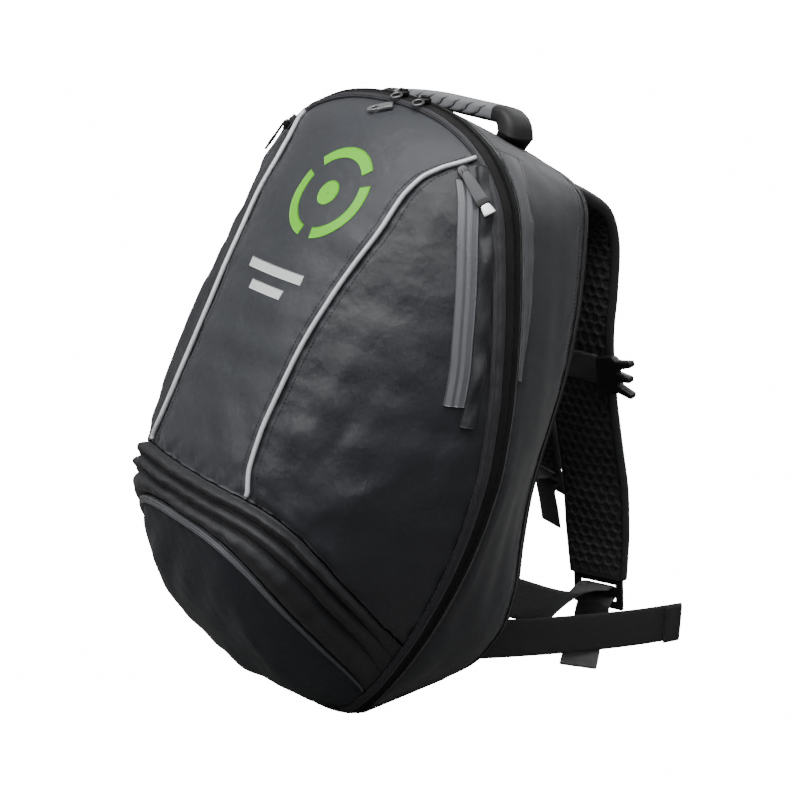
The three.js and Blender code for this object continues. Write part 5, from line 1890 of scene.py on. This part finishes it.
class NodeBench:
    """Places and joins the nodes of one tree."""

    def __init__(self, tree: bpy.types.NodeTree) -> None:
        """Keeps the tree.

        Args:
            tree: A material's tree or a group's.
        """
        self.tree = tree

    def add(self, kind: str, **values: object) -> bpy.types.Node:
        """New node, with some of its settings."""
        node = self.tree.nodes.new(kind)
        for key, value in values.items():
            setattr(node, key, value)
        return node

    def join(self, source: bpy.types.NodeSocket, target: bpy.types.NodeSocket) -> None:
        """Link between two sockets."""
        self.tree.links.new(source, target)

    def math(self, operation: str, *inputs: object) -> bpy.types.NodeSocket:
        """Result of a maths node, from sockets and numbers."""
        node = self.add("ShaderNodeMath", operation=operation)
        for socket, value in zip(node.inputs, inputs):
            if isinstance(value, (int, float)):
                socket.default_value = value
            else:
                self.join(value, socket)
        return node.outputs[0]

    def noise(
        self, vector: bpy.types.NodeSocket, scale: float, detail: float = 4.0, rough: float = 0.5
    ) -> bpy.types.NodeSocket:
        """Noise value at a vector."""
        node = self.add("ShaderNodeTexNoise")
        node.inputs["Scale"].default_value = scale
        node.inputs["Detail"].default_value = detail
        node.inputs["Roughness"].default_value = rough
        self.join(vector, node.inputs["Vector"])
        return node.outputs["Fac"]

    def mix(self, factor: object, first: object, second: object) -> bpy.types.NodeSocket:
        """Colour between two colours."""
        node = self.add("ShaderNodeMix", data_type="RGBA")
        for socket, value in zip((node.inputs[0], node.inputs[6], node.inputs[7]), (factor, first, second)):
            if isinstance(value, bpy.types.NodeSocket):
                self.join(value, socket)
            else:
                socket.default_value = value
        return node.outputs[2]

    def spread(self, value: bpy.types.NodeSocket, low: float, high: float) -> bpy.types.NodeSocket:
        """A value between 0 and 1 moved to between low and high."""
        node = self.add("ShaderNodeMapRange")
        node.inputs["From Min"].default_value = 0.3
        node.inputs["From Max"].default_value = 0.7
        node.inputs["To Min"].default_value = low
        node.inputs["To Max"].default_value = high
        self.join(value, node.inputs["Value"])
        return node.outputs["Result"]


def new_group(name: str, inputs: Sequence[tuple[str, str, object]], outputs: Sequence[tuple[str, str]]) -> tuple:
    """Empty shader group with named sockets.

    Args:
        name: Name of the group.
        inputs: Name, kind and default of each input.
        outputs: Name and kind of each output.

    Returns:
        The group, its bench, its input node and its output node.
    """
    group = bpy.data.node_groups.new(name, "ShaderNodeTree")
    for label, kind, value in inputs:
        socket = group.interface.new_socket(label, in_out="INPUT", socket_type=kind)
        if value is not None:
            socket.default_value = value
    for label, kind in outputs:
        group.interface.new_socket(label, in_out="OUTPUT", socket_type=kind)
    bench = NodeBench(group)
    return group, bench, bench.add("NodeGroupInput"), bench.add("NodeGroupOutput")


class Effects:
    """Shader groups that several finishes use."""

    def __init__(self) -> None:
        """Builds each group once."""
        self.weave = self.make_weave()
        self.crinkle = self.make_crinkle()
        self.variation = self.make_variation()

    def make_weave(self) -> bpy.types.NodeTree:
        """Plain weave: threads of a given pitch that pass over and under each other."""
        group, bench, source, sink = new_group(
            "plain weave",
            [
                ("Vector", "NodeSocketVector", None), ("Pitch", "NodeSocketFloat", 0.0006),
                ("Stretch", "NodeSocketFloat", 1.0),
            ],
            [("Height", "NodeSocketFloat"), ("Thread", "NodeSocketFloat")],
        )
        split = bench.add("ShaderNodeSeparateXYZ")
        bench.join(source.outputs["Vector"], split.inputs[0])
        turns = bench.math("DIVIDE", math.pi, source.outputs["Pitch"])
        x = bench.math("MULTIPLY", split.outputs["X"], turns)
        y = bench.math("MULTIPLY", bench.math("MULTIPLY", split.outputs["Y"], turns), source.outputs["Stretch"])
        wave_x, wave_y = bench.math("SINE", x), bench.math("SINE", y)
        over = bench.math("MULTIPLY", bench.math("COSINE", x), bench.math("COSINE", y))
        over = bench.math("GREATER_THAN", over, 0.0)
        rib_x, rib_y = bench.math("ABSOLUTE", wave_x), bench.math("ABSOLUTE", wave_y)
        first = bench.math("MULTIPLY", rib_x, over)
        second = bench.math("MULTIPLY", rib_y, bench.math("SUBTRACT", 1.0, over))
        height = bench.math("ADD", first, second)
        bench.join(height, sink.inputs["Height"])
        bench.join(over, sink.inputs["Thread"])
        return group

    def make_crinkle(self) -> bpy.types.NodeTree:
        """Fine crinkles of coated cloth, in two sizes."""
        group, bench, source, sink = new_group(
            "fine crinkles",
            [
                ("Vector", "NodeSocketVector", None), ("Scale", "NodeSocketFloat", 60.0),
                ("Sharpness", "NodeSocketFloat", 0.5),
            ],
            [("Height", "NodeSocketFloat")],
        )
        large = bench.add("ShaderNodeTexNoise")
        large.inputs["Detail"].default_value = 3.0
        bench.join(source.outputs["Vector"], large.inputs["Vector"])
        bench.join(source.outputs["Scale"], large.inputs["Scale"])
        ridge = bench.math("ABSOLUTE", bench.math("SUBTRACT", large.outputs["Fac"], 0.5))
        ridge = bench.math("SUBTRACT", 0.25, ridge)
        small = bench.add("ShaderNodeTexNoise")
        small.inputs["Detail"].default_value = 5.0
        bench.join(source.outputs["Vector"], small.inputs["Vector"])
        bench.join(bench.math("MULTIPLY", source.outputs["Scale"], 3.3), small.inputs["Scale"])
        fine = bench.math("MULTIPLY", small.outputs["Fac"], 0.3)
        sharp = bench.math("MULTIPLY", ridge, source.outputs["Sharpness"])
        plain = bench.math("MULTIPLY", large.outputs["Fac"], 0.6)
        bench.join(bench.math("ADD", bench.math("ADD", sharp, plain), fine), sink.inputs["Height"])
        return group

    def make_variation(self) -> bpy.types.NodeTree:
        """Slow change of a colour over the piece, with a little dust."""
        group, bench, source, sink = new_group(
            "worn colour",
            [
                ("Vector", "NodeSocketVector", None), ("Colour", "NodeSocketColor", (0.05, 0.05, 0.05, 1)),
                ("Worn Colour", "NodeSocketColor", (0.1, 0.1, 0.1, 1)), ("Scale", "NodeSocketFloat", 9.0),
                ("Amount", "NodeSocketFloat", 0.25),
            ],
            [("Colour", "NodeSocketColor"), ("Mask", "NodeSocketFloat")],
        )
        patch = bench.add("ShaderNodeTexNoise")
        patch.inputs["Detail"].default_value = 6.0
        patch.inputs["Roughness"].default_value = 0.62
        bench.join(source.outputs["Vector"], patch.inputs["Vector"])
        bench.join(source.outputs["Scale"], patch.inputs["Scale"])
        mask = bench.spread(patch.outputs["Fac"], 0.0, 1.0)
        amount = bench.math("MULTIPLY", mask, source.outputs["Amount"])
        bench.join(bench.mix(amount, source.outputs["Colour"], source.outputs["Worn Colour"]), sink.inputs["Colour"])
        bench.join(mask, sink.inputs["Mask"])
        return group


class Pattern(Enum):
    """How the fine surface of a finish is made."""

    WOVEN = "woven"
    RIBBED = "ribbed"
    MOULDED = "moulded"
    SMOOTH = "smooth"


@dataclass(frozen=True)
class Finish:
    """One finish: its colours, its gloss and its fine surface."""

    name: str
    colour: tuple[float, float, float]
    worn: tuple[float, float, float]
    rough: tuple[float, float]
    pattern: Pattern
    pitch: float = 0.0006
    stretch: float = 1.0
    depth: float = 0.00012
    crinkle: float = 0.0
    crinkle_scale: float = 60.0
    amount: float = 0.3
    metallic: float = 0.0
    sheen: float = 0.0
    coat: float = 0.0
    coat_rough: float = 0.3

    def material(self, effects: Effects) -> bpy.types.Material:
        """Builds the material.

        Args:
            effects: The shared shader groups.

        Returns:
            The material, with its Principled shader in its own tree.
        """
        made = bpy.data.materials.new(self.name)
        made.use_nodes = True
        made.node_tree.nodes.clear()
        bench = NodeBench(made.node_tree)
        shader = bench.add("ShaderNodeBsdfPrincipled")
        output = bench.add("ShaderNodeOutputMaterial")
        bench.join(shader.outputs["BSDF"], output.inputs["Surface"])
        place = bench.add("ShaderNodeTexCoord")
        solid, flat = place.outputs["Object"], place.outputs["UV"]
        shader.inputs["Metallic"].default_value = self.metallic
        shader.inputs["Sheen Weight"].default_value = self.sheen
        shader.inputs["Sheen Roughness"].default_value = 0.45
        shader.inputs["Coat Weight"].default_value = self.coat
        shader.inputs["Coat Roughness"].default_value = self.coat_rough
        colour = bench.add("ShaderNodeGroup", node_tree=effects.variation)
        bench.join(solid, colour.inputs["Vector"])
        colour.inputs["Colour"].default_value = (*self.colour, 1)
        colour.inputs["Worn Colour"].default_value = (*self.worn, 1)
        colour.inputs["Amount"].default_value = self.amount
        tint = colour.outputs["Colour"]
        rough = bench.spread(bench.noise(solid, 35.0, 5.0), *self.rough)
        heights = []
        if self.pattern in (Pattern.WOVEN, Pattern.RIBBED):
            weave = bench.add("ShaderNodeGroup", node_tree=effects.weave)
            bench.join(flat, weave.inputs["Vector"])
            weave.inputs["Pitch"].default_value = self.pitch
            weave.inputs["Stretch"].default_value = self.stretch
            heights.append((weave.outputs["Height"], self.depth))
            # Painted shade: the weave's low points are darkened towards 0.62 of the colour, by up to 0.55, as shade
            # between the threads.
            dark = tuple(c * 0.62 for c in self.colour)
            shade = bench.math("SUBTRACT", 1.0, weave.outputs["Height"])
            tint = bench.mix(bench.math("MULTIPLY", shade, 0.55), tint, (*dark, 1))
        if self.pattern is Pattern.MOULDED:
            heights.append((bench.noise(solid, 900.0, 3.0), self.depth))
        if self.pattern is Pattern.SMOOTH:
            heights.append((bench.noise(solid, 260.0, 4.0), self.depth))
        if self.crinkle > 0:
            fine = bench.add("ShaderNodeGroup", node_tree=effects.crinkle)
            bench.join(solid, fine.inputs["Vector"])
            fine.inputs["Scale"].default_value = self.crinkle_scale
            fine.inputs["Sharpness"].default_value = 1.0
            heights.append((fine.outputs["Height"], self.crinkle))
        normal = None
        for height, distance in heights:
            bump = bench.add("ShaderNodeBump")
            bump.inputs["Strength"].default_value = 1.0
            bump.inputs["Distance"].default_value = distance
            bench.join(height, bump.inputs["Height"])
            if normal is not None:
                bench.join(normal, bump.inputs["Normal"])
            normal = bump.outputs["Normal"]
        bench.join(tint, shader.inputs["Base Color"])
        bench.join(rough, shader.inputs["Roughness"])
        if normal is not None:
            bench.join(normal, shader.inputs["Normal"])
        return made


class Finishes:
    """Every material of the bag, by name."""

    TABLE = {
        "front_cloth": Finish(
            "coated front cloth", (0.034, 0.037, 0.044), (0.046, 0.050, 0.058), (0.40, 0.50), Pattern.WOVEN,
            pitch=0.00055, depth=0.00004, crinkle=0.0011, crinkle_scale=34.0, sheen=0.12,
        ),
        "side_cloth": Finish(
            "coated side cloth", (0.019, 0.020, 0.025), (0.027, 0.029, 0.035), (0.38, 0.48), Pattern.WOVEN,
            pitch=0.00055, depth=0.00004, crinkle=0.0018, crinkle_scale=30.0, sheen=0.1,
        ),
        "gusset_cloth": Finish(
            "side wall cloth", (0.028, 0.030, 0.035), (0.042, 0.044, 0.050), (0.55, 0.68), Pattern.WOVEN,
            pitch=0.0009, depth=0.00009, crinkle=0.0012, crinkle_scale=26.0, sheen=0.2,
        ),
        "pocket_cloth": Finish(
            "bottom pocket cloth", (0.011, 0.014, 0.019), (0.017, 0.021, 0.028), (0.40, 0.50), Pattern.WOVEN,
            pitch=0.00055, depth=0.00004, crinkle=0.0018, crinkle_scale=30.0, sheen=0.05,
        ),
        "dark_cloth": Finish(
            "near black cloth", (0.014, 0.0145, 0.017), (0.024, 0.025, 0.029), (0.48, 0.62), Pattern.WOVEN,
            pitch=0.0006, depth=0.00006, crinkle=0.0008, crinkle_scale=60.0, sheen=0.08,
        ),
        "binding": Finish(
            "charcoal binding", (0.026, 0.026, 0.032), (0.040, 0.040, 0.048), (0.45, 0.60), Pattern.RIBBED,
            pitch=0.0008, depth=0.00010, crinkle=0.0006, crinkle_scale=70.0, sheen=0.1,
        ),
        "air_mesh": Finish(
            "honeycomb air mesh", (0.020, 0.020, 0.023), (0.032, 0.032, 0.036), (0.48, 0.62), Pattern.WOVEN,
            pitch=0.0007, depth=0.00018, sheen=0.1,
        ),
        "webbing": Finish(
            "woven webbing", (0.030, 0.031, 0.033), (0.052, 0.053, 0.056), (0.62, 0.75), Pattern.RIBBED,
            pitch=0.0012, stretch=1.6, depth=0.00035, sheen=0.3,
        ),
        "dark_webbing": Finish(
            "black waist webbing", (0.010, 0.010, 0.011), (0.019, 0.019, 0.021), (0.62, 0.75), Pattern.RIBBED,
            pitch=0.0012, stretch=1.6, depth=0.00030, sheen=0.15,
        ),
        "flap_cloth": Finish(
            "rain flap cloth", (0.066, 0.069, 0.076), (0.086, 0.089, 0.098), (0.50, 0.62), Pattern.WOVEN,
            pitch=0.0009, depth=0.00009, crinkle=0.0010, crinkle_scale=30.0, sheen=0.25,
        ),
        "strap_cloth": Finish(
            "charcoal strap cloth", (0.024, 0.025, 0.029), (0.034, 0.035, 0.040), (0.55, 0.68), Pattern.WOVEN,
            pitch=0.0009, depth=0.00009, crinkle=0.0008, crinkle_scale=26.0, sheen=0.2,
        ),
        "guard_cloth": Finish(
            "soft guard cloth", (0.012, 0.013, 0.016), (0.034, 0.036, 0.041), (0.38, 0.52), Pattern.WOVEN,
            pitch=0.0006, depth=0.00006, crinkle=0.0016, crinkle_scale=40.0, sheen=0.1,
        ),
        "pull_plastic": Finish(
            "charcoal pull tab", (0.066, 0.069, 0.076), (0.090, 0.094, 0.102), (0.42, 0.52), Pattern.MOULDED,
            depth=0.00004,
        ),
        "piping": Finish(
            "silver reflective piping", (0.80, 0.82, 0.86), (0.70, 0.72, 0.76), (0.32, 0.42), Pattern.RIBBED,
            pitch=0.0007, depth=0.00008, metallic=0.25,
        ),
        "coated_zip": Finish(
            "coated zip film", (0.11, 0.115, 0.125), (0.17, 0.175, 0.19), (0.26, 0.38), Pattern.SMOOTH,
            depth=0.00012, amount=0.5, coat=0.25, coat_rough=0.25,
        ),
        "zip_tape": Finish(
            "black zip tape", (0.002, 0.002, 0.0024), (0.004, 0.004, 0.0045), (0.80, 0.92), Pattern.RIBBED,
            pitch=0.0006, depth=0.00008,
        ),
        "black_plastic": Finish(
            "moulded black plastic", (0.010, 0.010, 0.011), (0.022, 0.022, 0.023), (0.30, 0.42), Pattern.MOULDED,
            depth=0.00006,
        ),
        "rubber": Finish(
            "grip rubber", (0.17, 0.175, 0.185), (0.22, 0.225, 0.235), (0.50, 0.62), Pattern.MOULDED,
            depth=0.00010, sheen=0.05,
        ),
        "smooth_rubber": Finish(
            "smooth black rubber", (0.008, 0.008, 0.009), (0.014, 0.014, 0.015), (0.50, 0.62), Pattern.MOULDED,
            depth=0.00006,
        ),
        "lacquer": Finish(
            "black lacquered metal", (0.020, 0.020, 0.021), (0.06, 0.06, 0.062), (0.24, 0.34), Pattern.SMOOTH,
            depth=0.00002, metallic=0.6, coat=0.4,
        ),
        "ring_metal": Finish(
            "dull ring metal", (0.16, 0.16, 0.165), (0.10, 0.10, 0.105), (0.30, 0.42), Pattern.SMOOTH,
            depth=0.00002, metallic=0.8,
        ),
        "silver": Finish(
            "satin silver", (0.62, 0.63, 0.64), (0.48, 0.49, 0.50), (0.24, 0.38), Pattern.SMOOTH,
            depth=0.00002, metallic=1.0,
        ),
        "thread": Finish(
            "sewing thread", (0.022, 0.023, 0.026), (0.030, 0.031, 0.034), (0.55, 0.65), Pattern.SMOOTH, depth=0.00002,
        ),
        "green_print": Finish(
            "green print", (0.16, 0.62, 0.02), (0.13, 0.52, 0.02), (0.42, 0.52), Pattern.SMOOTH, depth=0.00004,
        ),
        "white_print": Finish(
            "white print", (0.72, 0.73, 0.74), (0.62, 0.63, 0.64), (0.42, 0.52), Pattern.SMOOTH, depth=0.00004,
        ),
    }

    def __init__(self) -> None:
        """Builds every material once."""
        effects = Effects()
        for name, finish in self.TABLE.items():
            setattr(self, name, finish.material(effects))


@dataclass
class Emblem:
    """Plain printed motif where a bag of this kind carries a print: a green ring and white bars."""

    shop: Shop
    shell: FrontShell
    centre: tuple[float, float] = (0.150, 0.11)
    radius: float = 0.034
    ring: float = 0.0080
    bar_down: float = 0.268
    bar_length: float = 0.062
    bar_height: float = 0.0070
    film: float = 0.0003

    def spot(self, x: Array, y: Array, lift: float) -> Array:
        """World place of a point of the print, x to the right and y down from the ring's middle."""
        form = self.shop.form
        down = self.centre[0] + y / form.sizes.height
        middle = self.centre[1] * form.sizes.half_width * form.half(self.centre[0])
        across = (middle + x) / (form.sizes.half_width * form.half(down))
        return form.front(down, across, self.shell.relief(down, across) + lift)

    def film_piece(self, name: str, x: Array, y: Array, material: bpy.types.Material) -> None:
        """Thin film over the cloth from a grid of places."""
        piece = self.shop.maker.wall(name, self.spot(x, y, self.film + 0.0001), self.spot(x, y, -0.0001))
        self.shop.finish(piece, material, "coated_cloth")

    def build(self) -> None:
        """Prints three open arcs and two bars."""
        finishes = self.shop.finishes
        for number, (start, end) in enumerate(((100, 200), (220, 320), (340, 440))):
            angle = np.radians(np.linspace(start, end, 60))[:, None]
            reach = np.linspace(self.radius - self.ring, self.radius, 8)[None, :]
            x, y = reach * np.cos(angle), reach * np.sin(angle)
            self.film_piece(f"print_arc_{number + 1}", x, y, finishes.green_print)
        angle = np.linspace(0, 2 * math.pi, 61)[:, None]
        reach = np.linspace(0.0002, 0.009, 8)[None, :]
        self.film_piece("print_dot", reach * np.cos(angle), reach * np.sin(angle), finishes.green_print)
        top = (self.bar_down - self.centre[0]) * self.shop.form.sizes.height
        for number, share in enumerate((1.0, 0.62)):
            x = np.linspace(-0.5, 0.5, 60)[:, None] * self.bar_length * share - 0.012
            y = top + number * self.bar_height * 2 + np.linspace(0, 1, 8)[None, :] * self.bar_height
            x, y = np.broadcast_arrays(x, y)
            self.film_piece(f"print_bar_{number + 1}", x, y, finishes.white_print)


@dataclass(frozen=True)
class Lamp:
    """One square soft light: its place, its size and its power."""

    name: str
    place: tuple[float, float, float]
    size: float
    power: float


@dataclass
class Studio:
    """Pale floor, soft lights from above and the camera at the photograph's angle."""

    camera_at: tuple[float, float, float] = (0.811, -0.637, 0.713)
    back: tuple[float, float, float] = (0.6895, -0.5993, 0.4067)
    right: tuple[float, float, float] = (0.6561, 0.7547, 0.0)
    lens: float = 63.0
    floor_size: float = 60.0
    pale: float = 16.0
    sky: float = 0.55
    ground: float = 0.02
    lamps: tuple[Lamp, ...] = (
        Lamp("top", (0.1, -0.5, 2.2), 1.6, 48.0),
        Lamp("front", (-0.5, -1.8, 1.7), 1.2, 12.0),
        Lamp("side", (1.5, -0.3, 2.0), 1.0, 9.0),
        Lamp("rim", (0.9, 1.6, 1.5), 0.9, 6.0),
        Lamp("back", (-0.6, 2.0, 1.3), 1.2, 16.0),
    )

    def build(self) -> None:
        """Builds the floor, the world, the lights and the camera."""
        scene = bpy.context.scene
        mesh = bpy.data.meshes.new("floor")
        a = self.floor_size / 2
        mesh.from_pydata([(-a, -a, -0.0004), (a, -a, -0.0004), (a, a, -0.0004), (-a, a, -0.0004)], [], [(0, 1, 2, 3)])
        floor = bpy.data.objects.new("floor", mesh)
        scene.collection.objects.link(floor)
        mesh.materials.append(self.floor_material())
        scene.world = self.studio_world()
        for lamp in self.lamps:
            self.light(lamp)
        camera = bpy.data.cameras.new("camera")
        camera.lens = self.lens
        camera.sensor_width = 36.0
        camera.clip_end = 1000.0
        holder = bpy.data.objects.new("camera", camera)
        scene.collection.objects.link(holder)
        back = Vector(self.back).normalized()
        right = Vector(self.right).normalized()
        up = back.cross(right)
        turned = Matrix((right, up, back)).transposed().to_4x4()
        turned.translation = Vector(self.camera_at)
        holder.matrix_world = turned
        scene.camera = holder

    def floor_material(self) -> bpy.types.Material:
        """Pale to the camera, and a dull grey in what it throws back onto the bag."""
        made = bpy.data.materials.new("pale floor")
        made.use_nodes = True
        made.node_tree.nodes.clear()
        bench = NodeBench(made.node_tree)
        output = bench.add("ShaderNodeOutputMaterial")
        seen = bench.add("ShaderNodeLightPath").outputs["Is Camera Ray"]
        glow, dull = bench.add("ShaderNodeEmission"), bench.add("ShaderNodeBsdfDiffuse")
        glow.inputs["Strength"].default_value = self.pale
        dull.inputs["Color"].default_value = (0.11, 0.11, 0.11, 1)
        blend = bench.add("ShaderNodeMixShader")
        for socket, value in zip(blend.inputs, (seen, dull.outputs[0], glow.outputs[0])):
            bench.join(value, socket)
        bench.join(blend.outputs[0], output.inputs["Surface"])
        return made

    def studio_world(self) -> bpy.types.World:
        """White to the camera; as light, bright overhead and dark below."""
        world = bpy.data.worlds.new("studio")
        world.use_nodes = True
        bench = NodeBench(world.node_tree)
        backdrop = world.node_tree.nodes["Background"]
        backdrop.inputs["Color"].default_value = (1, 1, 1, 1)
        seen = bench.add("ShaderNodeLightPath").outputs["Is Camera Ray"]
        split = bench.add("ShaderNodeSeparateXYZ")
        bench.join(bench.add("ShaderNodeTexCoord").outputs["Generated"], split.inputs[0])
        height = bench.add("ShaderNodeMapRange")
        bench.join(split.outputs["Z"], height.inputs["Value"])
        limits = (("From Min", -0.2), ("From Max", 0.9), ("To Min", self.ground), ("To Max", self.sky))
        for label, value in limits:
            height.inputs[label].default_value = value
        shown = bench.math("MULTIPLY", seen, self.pale)
        lit = bench.math("MULTIPLY", bench.math("SUBTRACT", 1.0, seen), height.outputs["Result"])
        bench.join(bench.math("ADD", shown, lit), backdrop.inputs["Strength"])
        return world

    def light(self, lamp: Lamp) -> None:
        """Square soft light that faces the bag."""
        data = bpy.data.lights.new(lamp.name, "AREA")
        data.size = lamp.size
        data.energy = lamp.power
        holder = bpy.data.objects.new(lamp.name, data)
        bpy.context.scene.collection.objects.link(holder)
        holder.location = lamp.place
        holder.rotation_mode = "QUATERNION"
        holder.rotation_quaternion = (Vector(lamp.place) - Vector((0, 0.05, 0.25))).to_track_quat("Z", "Y")


def main() -> None:
    """Builds the bag's pieces in order, then the studio."""
    logging.basicConfig(level=logging.INFO, format="%(message)s")
    form, maker = BagForm(BagSizes()), MeshMaker()
    shop = Shop(form, maker, Cloth(form), Stitcher(maker), Finishes())
    shell = FrontShell(shop)
    shell.build()
    LowerFront(shop).build()
    ZipRim(shop).build()
    Gusset(shop).build()
    for side_name, side in SIDES:
        SidePocketZip(shop, side_name, side).build()
    Crown(shop).build()
    Handle(shop).build()
    BackPanel(shop).build()
    Harness(shop).build()
    Emblem(shop, shell).build()
    Studio().build()
    log.info("%d pieces made", len(maker.made))


if __name__ == "__main__":
    main()
